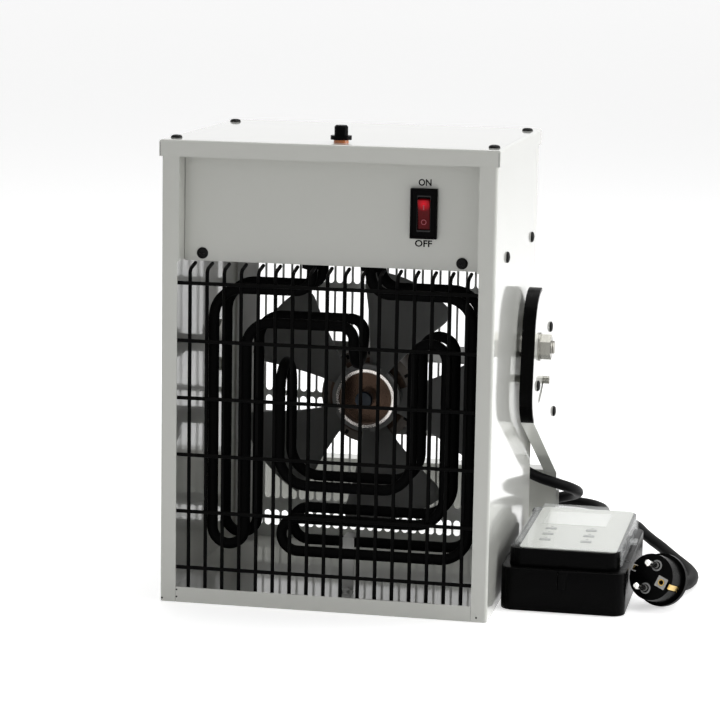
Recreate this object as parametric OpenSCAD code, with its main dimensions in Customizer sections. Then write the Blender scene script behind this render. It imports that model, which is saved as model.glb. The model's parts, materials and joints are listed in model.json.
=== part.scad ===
// Industrial fan heater: painted sheet housing with tubular elements, a pitched fan and a guard of wire,
// a stand that swings behind it, a control box in its lead and a two pin plug.
// Millimetres, +Z up, front towards -Y. The origin is on the floor under the middle of the housing.

/* [Housing] */
// Width across the side panels
body_w = 247; // [230:1:290]
// Depth from the front edges to the rear edges
body_d = 225; // [215:1:260]
// Height from the floor to the top of the cover
body_h = 345; // [335:1:400]
// Thickness of the painted sheet
sheet_t = 1.2; // [0.8:0.1:1.6]
// Outer radius of the folded upright corners
fold_r = 2.4; // [1.8:0.1:4]
// Width of the folded front edges
flange_w = 12; // [9:1:14]
// Width of the folded rear edges
rear_flange_w = 8; // [6:1:9]
// Height of the folded front edge of the floor
sill_h = 11.5; // [8:0.5:14]
// Height of the folded rear edge of the floor
rear_sill_h = 9; // [6:0.5:10]
// Height of the control bay, from the shelf to the top
bay_h = 89; // [80:1:95]
// How far the fascia lies behind the front edges
fascia_in = 16; // [10:1:18]

/* [Cover] */
// Height of the turned down edge
cap_h = 12.2; // [9:0.2:16]
// How far the cover stands out past each panel
cap_over = 1.5; // [1.4:0.1:3]
// Radius of the cover's top edges
cap_r = 1.8; // [1.3:0.1:2.4]
// Height of the reset button's cap
reset_h = 7.5; // [6:0.5:9]
// Diameter of the reset button's cap
reset_d = 10; // [8:0.5:11]
// Travel of the reset button
reset_travel = 2; // [1:0.1:2.4]

/* [Guard] */
// Wire diameter
wire_d = 2.8; // [2.2:0.1:3.4]
// Pitch of the upright wires
wire_pitch = 12.88; // [10:0.04:16]
// Pitch of the level wires
rail_pitch = 42.75; // [38:0.25:48]
// Height of the lowest level wire
rail_low = 26.3; // [20:0.1:32]
// How far the tops of the uprights hook back
hook_in = 15; // [10:0.5:17]

/* [Rear panel] */
// Width of a slot
slot_w = 5.4; // [4:0.1:6]
// Pitch of the slots
slot_pitch = 7.2; // [6.8:0.1:9]
// Plain margin at each side of the slots
slot_margin = 9; // [8:0.5:20]

/* [Elements] */
// Tube diameter
el_d = 8; // [6:0.5:9]
// Pitch between neighbouring runs
el_pitch = 25; // [22:0.5:27]
// Pitch between the front and the rear layer
el_depth = 40; // [36:1:48]
// Distance of the front layer behind the front edges
el_y = 30; // [28:0.5:34]
// Bend radius of the wide bends
el_r = 18; // [15:0.5:20]
// Clearance round each tube in the shelf and its gland nuts
el_clear = 0.3; // [0.2:0.05:0.5]

/* [Fan] */
// Diameter over the blade tips
fan_d = 200; // [180:1:208]
// Height of the fan's axis
fan_z = 133; // [125:1:138]
// Number of blades
blade_n = 5; // [3:1:6]
// Width of a blade, degrees of arc
blade_arc = 50; // [36:1:52]
// Rise of a blade across its width
blade_pitch = 24; // [14:1:26]
// Thickness of a blade
blade_t = 1.5; // [1:0.1:2.5]
// Diameter of the hub
hub_d = 46.8; // [40:0.2:50]
// Shaft diameter
shaft_d = 8; // [6:0.5:10]
// Diameter of the motor
motor_d = 76; // [64:1:84]

/* [Stand] */
// Thickness of the stand's sheet
arm_t = 2; // [1.6:0.1:2.4]
// Width of the arm with its folded rim
arm_w = 10; // [8:0.5:11]
// Gap between the panel and the arm's rim
arm_gap = 4; // [3:0.25:6]
// Distance of the pivot behind the front edges
pivot_y = 150; // [145:1:153]
// Height of the pivot
pivot_z = 182; // [179:1:185]
// Diameter of the pivot bolt
pivot_d = 10; // [8:0.5:12]
// Radius of the guide slot round the pivot
guide_r = 43; // [41:0.5:45]
// Guide stud diameter
guide_d = 6; // [5:0.5:7]
// Swing of the stand, degrees
stand_swing = 35; // [20:1:35]
// Height of the rear cross-bar
bar_h = 48; // [36:1:50]

/* [Control box] */
// Width
box_w = 93; // [86:1:100]
// Length
box_l = 158; // [146:1:166]
// Height of the seam
box_seam = 32.3; // [28:0.1:36]
// Height of the upper half
box_top = 13.7; // [13:0.1:18]
// Step from the lower half in to the upper half
box_step = 5.4; // [4:0.2:7]
// Corner radius
box_r = 10; // [7:0.5:12]
// Thickness of the clear flap
flap_t = 1.2; // [1:0.1:1.6]

/* [Leads] */
// Diameter of both leads
cord_d = 9; // [8.6:0.1:9.2]
// Diameter across the plug's face
plug_d = 35; // [34:0.5:36]
// Diameter of a plug pin
pin_d = 4.8; // [4:0.1:4.8]
// Length of a plug pin
pin_l = 19; // [17:0.5:19]

/* [Hidden] */
$fn = 64;
gap = 0.3;
fit = 0.05;
weld_gap = 0.02;
in_x = body_w / 2 - sheet_t;
open_x = body_w / 2 - flange_w;
rear_x = body_w / 2 - rear_flange_w;
shelf_z = body_h - bay_h;
roof_z = body_h - sheet_t;
lip_z = roof_z - sheet_t;
back_y = body_d - 2 * sheet_t;

// Places on the fascia and the cover
switch_x = body_w / 2 - 55.3;
switch_z = shelf_z + 40.3;
switch_w = 19.8;
switch_h = 36.5;
rocker_w = 8.8;
rocker_h = 22;
rocker_tilt = 10;
rocker_y = fascia_in + 1.5;
bezel_out = 4;
reset_x = 4.5;
reset_y = fascia_in + 8;
bush_d = 8;
reset_nut_d = 15.5;
washer_t = 2;
cover_screw_y = [19, body_d - 29];
shelf_screw_y = [56.5, body_d - 32.3];
screw_d = 4;
head_d = 8.5;
fascia_screw_x = body_w / 2 - 26.9;

// Element centre lines, as seen from the front
el_top = shelf_z - 22;
el_floor = 37.5;
la_x = -in_x + 31.3;
ra_x = in_x - 18.3;
term_l = -17;
term_r = 27;
run_2 = el_top - el_pitch;
el_end_a = 90;
el_in = 10 * tan(el_end_a / 2);
el_left = [[term_l, shelf_z + 16], [term_l, el_top], [la_x, el_top], [la_x, el_floor + 2.5],
    [la_x + el_pitch, el_floor + 2.5], [la_x + el_pitch, run_2], [5 + el_in, run_2],
    [5 + el_in + el_in * cos(el_end_a), run_2 - el_in * sin(el_end_a)]];
el_left_r = [0, 12, 22, el_pitch / 2, el_pitch / 2, el_r, 10, 0];
el_right = [[term_r, shelf_z + 16], [term_r, el_top], [ra_x, el_top], [ra_x, el_floor], [-37.6, el_floor],
    [-37.6, el_floor + el_pitch], [ra_x - 19, el_floor + el_pitch], [ra_x - 19, 198.5],
    [ra_x - 19 - el_pitch, 198.5], [ra_x - 19 - el_pitch, el_floor + 2 * el_pitch],
    [-40, el_floor + 2 * el_pitch], [-40, 157]];
el_right_r = [0, 15, 22, 22, el_pitch / 2, el_pitch / 2, 22, el_pitch / 2, el_pitch / 2, 22, 22, 0];

// Fan and motor along the depth
hub_y = 155;
hub_l = 9;
motor_y = 170;
motor_l = back_y - 17 - motor_y;
bar_y = motor_y + motor_l;
mount_dz = 30;

// Stand: the arm's outline is drawn round four circles, as y, z and radius
arm_x = body_w / 2 + arm_gap;
head_c = [158, 190, 37];
brow_c = [143, 150, 28];
heel_c = [300, 62, 12];
rear_c = [214, 186, 14];
leg_y = [288, 312];
foot_h = 4;
pad_t = 2.5;
guide_a = -46;
nut_af = 17;
nut_l = 8;

// Control box and its flap
box_x = body_w / 2 + 3;
box_y = 41;
cover_z = box_seam + box_top;
plate_t = 0.8;
flap_z = cover_z + 1.6;
hinge_x = box_x + 8.7;
hinge_z = cover_z - 1.8;
key_w = 8;
key_d = 5;
key_travel = 0.6;
key_x = [155, 186];
key_y = [115, 96, 77];
gland_z = 16;
lead_a_x = 180;
lead_b_x = 142;

// Leads: hand chosen points on the centre lines
relief_l = 20;
exit_x = body_w / 2 - 16;
exit_z = 68;
cr = cord_d / 2;
run_a = [[exit_x, body_d - sheet_t + relief_l + 2, 68], [exit_x, 255, 68], [110.5, 262, 64], [116, 269, 58],
    [126, 275.4, 52], [138.6, 281.6, 47], [148.2, 291.5, 42], [152.6, 306, 36.5], [152.4, 321, 31.5],
    [147.5, 334, 27], [137.5, 343, 22.5], [122, 347.5, 18.5], [103, 348, 14.5], [83, 346.5, 10],
    [62, 344.2, 6.4], [43, 342.4, 4.9], [33, 342, 4.8], [24, 342, 4.8]];
coil_c = [15, 393, 4.8];
coil_r = 51;
coil_step = 10;
coil_turns = 1.5;
coil_rise = 9.6;
run_b = [[24, 444, 14.4], [33, 444, 14.4], [48, 441, 12.6], [63, 434, 9], [78, 424, 6], [92, 415, 4.9],
    [106, 409, 4.8], [120, 407.5, 4.8], [134, 408.5, 4.8], [148, 409, 4.8], [160, 403.5, 4.8],
    [168.5, 393, 4.8], [172.5, 379, 4.8], [174.5, 360, 4.8], [176.5, 338, 4.8], [178, 316, 4.8],
    [179, 294, 4.8], [180, 274, 5], [180, 258, 8], [180, 244, 12.6], [180, 232, 15.6], [180, 224, 16],
    [180, box_y + box_l + relief_l, 16]];
run_c = [[142, box_y + box_l + relief_l, 16], [142, 229, 16], [142, 246, 16], [142, 262, 16.5],
    [146.8, 280, 16.5], [160, 293.2, 16.5], [178, 298, 16.5], [194, 293.5, 16], [206, 281, 15],
    [214, 264, 13.2], [222, 250, 11], [230, 238, 9], [237.5, 225, 7], [245, 211, 5.4], [251.5, 197, 4.8],
    [257, 182, 4.8], [261, 166, 4.8], [261.7, 150, 4.9], [259.8, 135, 5.6], [255.7, 120.5, 7.3],
    [252.7, 112.2, 10.1]];

// Plug: centre of its collar and the turn that lays it on the floor
plug_at = [242.9, 85.4, 19.4];
plug_turn = [0, 72, -110];
plug_roll = -19;
plug_back = 30;

// Points and lengths for bent tubes
function unit2(v) = v / norm(v);
function turn_of(p, i) = cross2(unit2(p[i] - p[i - 1]), unit2(p[i + 1] - p[i]));
function cross2(a, b) = a[0] * b[1] - a[1] * b[0];
function bend_a(p, i) = acos(max(-1, min(1, unit2(p[i] - p[i - 1]) * unit2(p[i + 1] - p[i]))));
function trim(p, r, i) = (i == 0 || i == len(p) - 1) ? 0 : r[i] * tan(bend_a(p, i) / 2);

// Tangent points of the band between two circles given as y, z and radius
function tangent_pts(a, b) =
    let (v = [b[0] - a[0], b[1] - a[1]], d = norm(v), f = atan2(v[1], v[0]), g = acos((a[2] - b[2]) / d))
    [[a[0] + a[2] * cos(f + g), a[1] + a[2] * sin(f + g)], [b[0] + b[2] * cos(f + g), b[1] + b[2] * sin(f + g)],
        [b[0] + b[2] * cos(f - g), b[1] + b[2] * sin(f - g)], [a[0] + a[2] * cos(f - g), a[1] + a[2] * sin(f - g)]];

// Sweeping a round section along points
function unit3(v) = v / norm(v);
function along(p, i) = i == 0 ? unit3(p[1] - p[0])
    : i == len(p) - 1 ? unit3(p[i] - p[i - 1]) : unit3(unit3(p[i] - p[i - 1]) + unit3(p[i + 1] - p[i]));
function side_of(t) = unit3(cross(t, abs(t[2]) > 0.9 ? [0, 1, 0] : [0, 0, 1]));
function ring_at(p, i, r, n) =
    let (t = along(p, i), u = side_of(t), v = cross(u, t), q = r * cos(90 / n) / cos(180 / n))
    [for (k = [0:n - 1]) let (a = 270 + 180 / n + 360 * k / n) p[i] + q * (u * cos(a) + v * sin(a))];
function path_len(p, i = 1) = i >= len(p) ? 0 : norm(p[i] - p[i - 1]) + path_len(p, i + 1);

// The coil's centre line: in on the lower layer, up where the spiral reverses, out on the upper layer
function coil_rad(t) = coil_r - coil_step * min(t, coil_turns - t);
function coil_up(t) = let (m = coil_turns / 2) coil_rise * max(0, min(1, (t - m + 0.25) / 0.5));
function coil_pt(t) = [coil_c[0] + coil_rad(t) * cos(-90 - 360 * t), coil_c[1] + coil_rad(t) * sin(-90 - 360 * t),
    coil_c[2] + coil_up(t)];
coil_rings = 24;
coil_path = concat([[coil_c[0] + cord_d, coil_c[1] - coil_r, coil_c[2]]],
    [for (k = [0:coil_turns * coil_rings]) coil_pt(k / coil_rings)],
    [[coil_c[0] + cord_d, coil_c[1] + coil_r, coil_c[2] + coil_rise]]);
coil_gap = min([for (a = [0:coil_turns * 48]) for (b = [a + 24:coil_turns * 48])
    norm(coil_pt(a / 48) - coil_pt(b / 48)) - cord_d]);
echo(coil_gap = coil_gap);
echo(lead_a = path_len(run_a) + path_len(coil_path) + path_len(run_b), lead_b = path_len(run_c));

module swept(p, r, n) {
    rings = [for (i = [0:len(p) - 1]) ring_at(p, i, r, n)];
    last = (len(p) - 1) * n;
    pts = [for (q = rings) for (v = q) v];
    sides = [for (i = [0:len(p) - 2]) for (k = [0:n - 1])
        let (a = i * n + k, b = i * n + (k + 1) % n) for (f = [[a, a + n, b], [b, a + n, b + n]]) f];
    caps = [[for (k = [0:n - 1]) k], [for (k = [n - 1:-1:0]) last + k]];
    polyhedron(points = pts, faces = concat(sides, caps));
}

// A round bar along points in the XY plane with a radius at each corner
module bent_bar(p, r, d, fn = 32) {
    for (i = [0:len(p) - 2]) {
        u = unit2(p[i + 1] - p[i]);
        a = trim(p, r, i);
        l = norm(p[i + 1] - p[i]) - a - trim(p, r, i + 1);
        if (l > 0.01)
            translate([p[i][0] + u[0] * a, p[i][1] + u[1] * a, 0])
                rotate([0, 90, atan2(u[1], u[0])])
                    cylinder(h = l, d = d, $fn = fn);
    }
    for (i = [1:len(p) - 2]) {
        u = unit2(p[i] - p[i - 1]);
        s = turn_of(p, i) > 0 ? 1 : -1;
        t = trim(p, r, i);
        c = p[i] - u * t + [-u[1], u[0]] * s * r[i];
        w = bend_a(p, i);
        translate([c[0], c[1], 0])
            rotate([0, 0, atan2((p[i] - u * t - c)[1], (p[i] - u * t - c)[0]) - (s > 0 ? 0 : w)])
                rotate_extrude(angle = w, $fn = 72)
                    translate([r[i], 0])
                        circle(d = d, $fn = fn);
    }
}

module round_rect(x, y, w, d, r) {
    translate([x + r, y])
        square([w - 2 * r, d]);
    translate([x, y + r])
        square([w, d - 2 * r]);
    for (i = [0, 1])
        for (j = [0, 1])
            translate([x + r + i * (w - 2 * r), y + r + j * (d - 2 * r)])
                circle(r = r);
}

module box_at(a, b) {
    translate(a)
        cube(b - a);
}

// A cylinder whose axis runs along X or Y from a point
module rod_x(p, l, d, fn = 64) {
    translate(p)
        rotate([0, 90, 0])
            cylinder(h = l, d = d, $fn = fn);
}

module rod_y(p, l, d, fn = 64) {
    translate(p)
        rotate([-90, 0, 0])
            cylinder(h = l, d = d, $fn = fn);
}

module place() {
    translate([0, -body_d / 2, 0])
        children();
}

// Both sides of the housing: the module is drawn for +X and mirrored
module both() {
    children();
    mirror([1, 0, 0])
        children();
}

module housing() {
    color([0.93, 0.94, 0.92])
        difference() {
            union() {
                linear_extrude(height = roof_z)
                    difference() {
                        round_rect(-body_w / 2, 0, body_w, body_d, fold_r);
                        round_rect(-in_x, sheet_t, 2 * in_x, body_d - 2 * sheet_t, fold_r - sheet_t);
                        translate([-open_x, -1])
                            square([2 * open_x, 2 + sheet_t]);
                        translate([-rear_x, body_d - sheet_t - 1])
                            square([2 * rear_x, sheet_t + 2]);
                    }
                box_at([-in_x - 0.1, sheet_t, 0], [in_x + 0.1, body_d - sheet_t, sheet_t]);
                box_at([-open_x + gap, 0, 0], [open_x - gap, sheet_t, sill_h]);
                box_at([-rear_x + gap, body_d - sheet_t, 0], [rear_x - gap, body_d, rear_sill_h]);
                box_at([-open_x + gap, 0, 0], [open_x - gap, sheet_t + 0.1, sheet_t]);
                box_at([-rear_x + gap, body_d - sheet_t - 0.1, 0], [rear_x - gap, body_d, sheet_t]);
                both() {
                    box_at([open_x, sheet_t, lip_z], [in_x + 0.1, back_y - gap, roof_z]);
                    box_at([open_x - sheet_t, 0, shelf_z], [open_x, fascia_in + sheet_t, lip_z - gap]);
                    box_at([open_x - 0.5, 0, shelf_z], [open_x + 0.5, sheet_t, lip_z - gap]);
                }
            }
            both() {
                rod_x([in_x - 5, pivot_y, pivot_z], 12, pivot_d + 2 * gap);
                translate([0, pivot_y, pivot_z])
                    rotate([guide_a, 0, 0])
                        rod_x([in_x - 5, guide_r, 0], 12, guide_d + 2 * gap);
                for (y = shelf_screw_y)
                    rod_x([in_x - 5, y, shelf_z + 6], 12, screw_d + 2 * gap);
                for (y = cover_screw_y)
                    translate([body_w / 2 - 5.9, y, lip_z - 5])
                        cylinder(h = 12, d = screw_d + 2 * gap);
            }
        }
}

module top_cover() {
    x = body_w / 2 + cap_over;
    color([0.95, 0.96, 0.94])
        difference() {
            intersection() {
                translate([0, body_d + cap_over + 5, 0])
                    rotate([90, 0, 0])
                        linear_extrude(height = body_d + 2 * cap_over + 10) {
                            round_rect(-x, body_h - cap_h - 5, 2 * x, cap_h + 5, cap_r);
                        }
                translate([-x - 5, 0, 0])
                    rotate([90, 0, 90])
                        linear_extrude(height = 2 * x + 10)
                            round_rect(-cap_over, body_h - cap_h - 5, body_d + 2 * cap_over, cap_h + 5, cap_r);
                box_at([-x - 1, -cap_over - 1, body_h - cap_h], [x + 1, body_d + cap_over + 1, body_h + 1]);
            }
            box_at([sheet_t - x, sheet_t - cap_over, 0], [x - sheet_t, body_d + cap_over - sheet_t, roof_z]);
            both()
                for (y = cover_screw_y)
                    translate([body_w / 2 - 5.9, y, roof_z - 1])
                        cylinder(h = 5, d = screw_d + 2 * gap);
            translate([reset_x, reset_y, roof_z - 1])
                cylinder(h = 5, d = bush_d + 2 * gap);
        }
}

module fascia_panel() {
    x = open_x - sheet_t - gap;
    color([0.93, 0.94, 0.92])
        difference() {
            box_at([-x, fascia_in, shelf_z - 0.6], [x, fascia_in + sheet_t, lip_z]);
            box_at([switch_x - 7, fascia_in - 1, switch_z - 15], [switch_x + 7, fascia_in + sheet_t + 1, switch_z + 15]);
            both()
                rod_y([fascia_screw_x, fascia_in - 1, shelf_z + 5], 4, screw_d + 2 * gap);
        }
}

module compartment_shelf() {
    y0 = fascia_in + sheet_t;
    x = in_x - gap;
    color([0.8, 0.81, 0.8])
        difference() {
            union() {
                box_at([-x, y0 + gap, shelf_z], [x, back_y - gap, shelf_z + sheet_t]);
                box_at([-open_x + sheet_t + gap, y0, shelf_z], [open_x - sheet_t - gap, y0 + sheet_t, shelf_z + 12]);
                both()
                    box_at([x - sheet_t, y0 + 6, shelf_z], [x, back_y - 6, shelf_z + 12]);
            }
            for (x = [term_l, term_r])
                for (y = [el_y, el_y + el_depth])
                    translate([x, y, shelf_z - 1])
                        cylinder(h = 5, d = el_d + 2 * el_clear);
            both() {
                rod_y([fascia_screw_x, y0 - 1, shelf_z + 5], 4, screw_d + 2 * gap);
                for (y = shelf_screw_y)
                    rod_x([x - 5, y, shelf_z + 6], 12, screw_d + 2 * gap);
            }
        }
}

// Slot rows as lower and upper ends above the floor, and a column left out beside the lead
module rear_panel() {
    x = in_x - (fold_r - sheet_t) - 0.1;
    mid = fan_z - 9;
    rows = [[10.5, 23.5], [33.5, mid - 4], [mid, shelf_z - 45], [shelf_z - 41.3, shelf_z - 6]];
    n = floor((in_x - gap - slot_margin - slot_w / 2) / slot_pitch);
    color([0.9, 0.91, 0.9])
        difference() {
            translate([0, body_d - sheet_t, 0])
                rotate([90, 0, 0])
                    linear_extrude(height = sheet_t)
                        difference() {
                            translate([-x, sheet_t])
                                square([2 * x, lip_z - sheet_t]);
                            for (i = [-n:n])
                                for (r = rows)
                                    if (!(abs(i * slot_pitch - exit_x) < 15 && r[0] > 25 && r[0] < 60)) {
                                        translate([i * slot_pitch - slot_w / 2, r[0] + slot_w / 2])
                                            square([slot_w, r[1] - r[0] - slot_w]);
                                        for (z = [r[0] + slot_w / 2, r[1] - slot_w / 2])
                                            translate([i * slot_pitch, z])
                                                circle(d = slot_w, $fn = 24);
                                    }
                        }
            rod_y([exit_x, back_y - 1, exit_z], 5, cord_d + 2 * gap);
        }
}

// Each wire is a solid of its own, so that the gaps stay open in collision; they meet at the welds
module front_guard() {
    n = floor((open_x - 6) / wire_pitch);
    m = floor((shelf_z - 12 - rail_low) / rail_pitch);
    yr = sheet_t + wire_d / 2;
    yv = yr + wire_d + weld_gap;
    top = shelf_z - 6;
    color([0.03, 0.03, 0.03])
        union() {
            for (k = [0:m])
                rod_x([-open_x - 4, yr, rail_low + k * rail_pitch], 2 * open_x + 8, wire_d, 8);
            for (i = [-n:n])
                translate([i * wire_pitch, 0, 0])
                    rotate([90, 0, 90])
                        bent_bar([[yv, sheet_t + 0.8], [yv, top], [yv + hook_in, top + 3]], [0, 4.5, 0], wire_d, 8);
        }
}

module element(p, r, end_a) {
    e = p[len(p) - 1];
    rotate([90, 0, 0]) {
        for (z = [0, -el_depth])
            translate([0, 0, z])
                bent_bar(p, r, el_d);
        translate([e[0], e[1], -el_depth / 2])
            rotate([0, 0, end_a - 90])
                rotate([0, 90, 0])
                    rotate_extrude(angle = 180, $fn = 72)
                        translate([el_depth / 2, 0])
                            circle(d = el_d, $fn = 32);
    }
}

module element_left() {
    color([0.06, 0.06, 0.06])
        translate([0, el_y, 0])
            element(el_left, el_left_r, -el_end_a);
}

module element_right() {
    color([0.06, 0.06, 0.06])
        translate([0, el_y, 0])
            element(el_right, el_right_r, 90);
}

module element_glands() {
    color([0.12, 0.12, 0.12])
        for (x = [term_l, term_r])
            for (y = [el_y, el_y + el_depth])
                translate([x, y, shelf_z - 5])
                    difference() {
                        cylinder(h = 5, d = el_d + 7, $fn = 6);
                        translate([0, 0, -1])
                            cylinder(h = 7, d = el_d + 2 * el_clear);
                    }
}

// A strip on the floor whose hooked top rests on the rear layer's lowest run
module element_support() {
    x0 = 3.5;
    z = el_floor + el_d / 2 + gap;
    y = el_y + el_depth - 12;
    color([0.55, 0.56, 0.55])
        difference() {
            union() {
                box_at([x0, y, sheet_t], [x0 + 8.8, y + 1.5, z + 1.5]);
                box_at([x0, y, z], [x0 + 8.8, y + 18, z + 1.5]);
                box_at([x0, y - 14, sheet_t], [x0 + 8.8, y + 1.5, sheet_t + 1.5]);
            }
            translate([x0 + 4.4, y - 7, 0])
                cylinder(h = 6, d = 3.4);
        }
    color([0.05, 0.05, 0.05])
        translate([x0 + 4.4, y - 7, sheet_t + 1.5])
            cylinder(h = 2.2, d = 6.5);
}

module motor_bars() {
    x = in_x - 11;
    color([0.6, 0.6, 0.6])
        for (z = [fan_z - mount_dz, fan_z + mount_dz])
            difference() {
                box_at([-x, bar_y, z - 7], [x, bar_y + 1.5, z + 7]);
                both()
                    rod_y([20, bar_y - 1, z], 4, screw_d + 2 * gap);
            }
}

module side_rails() {
    x = in_x - 11;
    color([0.55, 0.55, 0.55])
        both()
            box_at([x - 12, bar_y - 1.5, sheet_t], [x, bar_y, shelf_z]);
}

module motor_body() {
    color([0.42, 0.38, 0.33])
        difference() {
            union() {
                rod_y([0, motor_y, fan_z], motor_l, motor_d);
                rod_y([0, motor_y - 4, fan_z], 5, 2 * hub_d / 3);
            }
            rod_y([0, motor_y - 5, fan_z], motor_l - 6, shaft_d + 2 * fit);
            both()
                for (z = [-mount_dz, mount_dz])
                    rod_y([20, bar_y - 8, fan_z + z], 10, screw_d + 2 * gap);
        }
}

module motor_screws() {
    color([0.1, 0.1, 0.1])
        both()
            for (z = [-mount_dz, mount_dz]) {
                rod_y([20, bar_y - 7, fan_z + z], 9, screw_d);
                rod_y([20, bar_y + 1.5, fan_z + z], 2.6, head_d);
            }
}

module fan_shaft() {
    color([0.75, 0.75, 0.75])
        rod_y([0, hub_y - 5, fan_z], motor_y + motor_l - 14 - (hub_y - 5), shaft_d);
}

module fan_hub() {
    color([0.82, 0.82, 0.82])
        difference() {
            union() {
                rod_y([0, hub_y, fan_z], hub_l, hub_d);
                rod_y([0, hub_y, fan_z], hub_l + 1, shaft_d + 10);
            }
            difference() {
                rod_y([0, hub_y - 1, fan_z], 6, hub_d - 5);
                rod_y([0, hub_y - 2, fan_z], 8, shaft_d + 6);
            }
            rod_y([0, hub_y - 2, fan_z], hub_l + 4, shaft_d + 2 * fit);
        }
}

// One blade: a pitched and cambered sheet between the hub and the tip
function blade_y(u, v) = hub_y + 5 + (blade_pitch * (0.45 + 0.55 * u)) * v + 5 * u * (0.25 - v * v);
function blade_pt(u, v, back) =
    let (r = hub_d / 2 + 1.5 + u * (fan_d / 2 - hub_d / 2 - 1.5), a = 90 + blade_arc * v * (0.72 + 0.28 * u))
    [r * cos(a), blade_y(u, v) + back, r * sin(a)];

module blade() {
    nu = 5;
    nv = 6;
    w = nv + 1;
    s = (nu + 1) * w;
    pts = [for (b = [0, blade_t]) for (i = [0:nu]) for (j = [0:nv])
        blade_pt(i / nu, (j / nv - 0.5) * (i == nu ? 0.86 : 1), b)];
    front = [for (i = [0:nu - 1]) for (j = [0:nv - 1])
        let (a = i * w + j) for (f = [[a, a + 1, a + w], [a + 1, a + w + 1, a + w]]) f];
    rear = [for (f = front) [f[2] + s, f[1] + s, f[0] + s]];
    loop = concat([for (j = [0:nv - 1]) j], [for (i = [0:nu - 1]) i * w + nv],
        [for (j = [nv:-1:1]) nu * w + j], [for (i = [nu:-1:1]) i * w]);
    rim = [for (k = [0:len(loop) - 1]) let (a = loop[k], b = loop[(k + 1) % len(loop)])
        for (f = [[a, a + s, b], [b, a + s, b + s]]) f];
    polyhedron(points = pts, faces = concat(front, rear, rim));
}

module fan_blades() {
    color([0.3, 0.3, 0.31])
        translate([0, 0, fan_z]) {
            for (k = [0:blade_n - 1])
                rotate([0, 360 / blade_n * k + 21, 0])
                    blade();
            difference() {
                rod_y([0, hub_y + 3, 0], 5, hub_d + 8);
                rod_y([0, hub_y + 2, 0], 7, hub_d + 0.2);
            }
        }
}

module hub_cap() {
    color([0.05, 0.08, 0.2])
        difference() {
            union() {
                rod_y([0, hub_y - 5.5, fan_z], 5.5, shaft_d + 6);
                translate([0, hub_y - 5.5, fan_z])
                    intersection() {
                        sphere(d = shaft_d + 6);
                        rod_y([0, -3.2, 0], 4, shaft_d + 8);
                    }
            }
            rod_y([0, hub_y - 5, fan_z], 8, shaft_d + 2 * fit);
        }
}

module thermal_cutout() {
    color([0.15, 0.1, 0.08])
        translate([reset_x, reset_y, 0])
            difference() {
                union() {
                    box_at([-9, fascia_in + 2 * sheet_t + gap - reset_y, roof_z - 22], [9, 12, roof_z - 2]);
                    translate([0, 0, roof_z - 3])
                        cylinder(h = sheet_t + 3 + washer_t + 1.8, d = bush_d);
                }
                translate([0, 0, roof_z - 14])
                    cylinder(h = 40, d = 4 + 2 * fit);
            }
}

module reset_washer() {
    color([0.85, 0.4, 0.1])
        translate([reset_x, reset_y, body_h])
            difference() {
                cylinder(h = washer_t, d = reset_d + 1);
                translate([0, 0, -1])
                    cylinder(h = washer_t + 2, d = bush_d + 2 * gap);
            }
}

module reset_nut() {
    color([0.04, 0.04, 0.04])
        translate([reset_x, reset_y, body_h + washer_t])
            difference() {
                cylinder(h = 3, d = reset_nut_d);
                translate([0, 0, -1])
                    cylinder(h = 5, d = bush_d + 2 * gap);
                translate([0, 0, 0.6])
                    cylinder(h = 5, d = reset_d + 2 * gap);
            }
}

module reset_button() {
    z = body_h + washer_t + 3;
    color([0.03, 0.03, 0.03])
        translate([reset_x, reset_y, 0])
            difference() {
                union() {
                    translate([0, 0, z + reset_travel - 2.2])
                        cylinder(h = reset_h - reset_travel + 2.2 - 1.2, d = reset_d);
                    translate([0, 0, z + reset_h - 1.2])
                        cylinder(h = 1.2, d1 = reset_d, d2 = reset_d - 2);
                    translate([0, 0, roof_z - 8])
                        cylinder(h = 18, d = 4);
                }
                difference() {
                    translate([0, 0, z + reset_travel - 3])
                        cylinder(h = 4.5, d = reset_d - 1.2);
                    translate([0, 0, z + reset_travel - 4])
                        cylinder(h = 8, d = 4);
                }
            }
}

module switch_body() {
    y0 = fascia_in - bezel_out;
    color([0.03, 0.03, 0.03])
        difference() {
            union() {
                box_at([switch_x - switch_w / 2, y0, switch_z - switch_h / 2],
                    [switch_x + switch_w / 2, fascia_in, switch_z + switch_h / 2]);
                box_at([switch_x - 6.6, fascia_in - 0.1, switch_z - 14.6],
                    [switch_x + 6.6, fascia_in + 18, switch_z + 14.6]);
            }
            box_at([switch_x - rocker_w / 2 - 0.6, y0 - 1, switch_z - rocker_h / 2 - 2.2],
                [switch_x + rocker_w / 2 + 0.6, fascia_in + 9, switch_z + rocker_h / 2 + 2.2]);
            rod_x([switch_x - 6.2, rocker_y, switch_z], 12.4, 2 + 2 * fit);
        }
}

module switch_rocker() {
    y0 = fascia_in - bezel_out;
    h = rocker_h / 2;
    color([0.75, 0.03, 0.03])
        translate([0, rocker_y, switch_z])
            rotate([rocker_tilt, 0, 0]) {
                translate([switch_x - rocker_w / 2, 0, 0])
                    rotate([90, 0, 90])
                        linear_extrude(height = rocker_w)
                            polygon([[-4.6, -h], [-3.4, 0], [-4.6, h], [0, h], [3.4, 3], [3.4, -3], [0, -h]]);
                rod_x([switch_x - 5.9, 0, 0], 11.8, 2);
            }
}

module screw_up(p, d) {
    translate(p) {
        cylinder(h = 1, d = d);
        translate([0, 0, 1])
            cylinder(h = 1.2, d1 = d, d2 = d * 0.55);
    }
}

module cover_screws() {
    color([0.04, 0.04, 0.04])
        both()
            for (y = cover_screw_y) {
                screw_up([body_w / 2 - 5.9, y, body_h], head_d);
                translate([body_w / 2 - 5.9, y, lip_z - 4])
                    cylinder(h = body_h - lip_z + 4, d = screw_d);
            }
}

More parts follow.
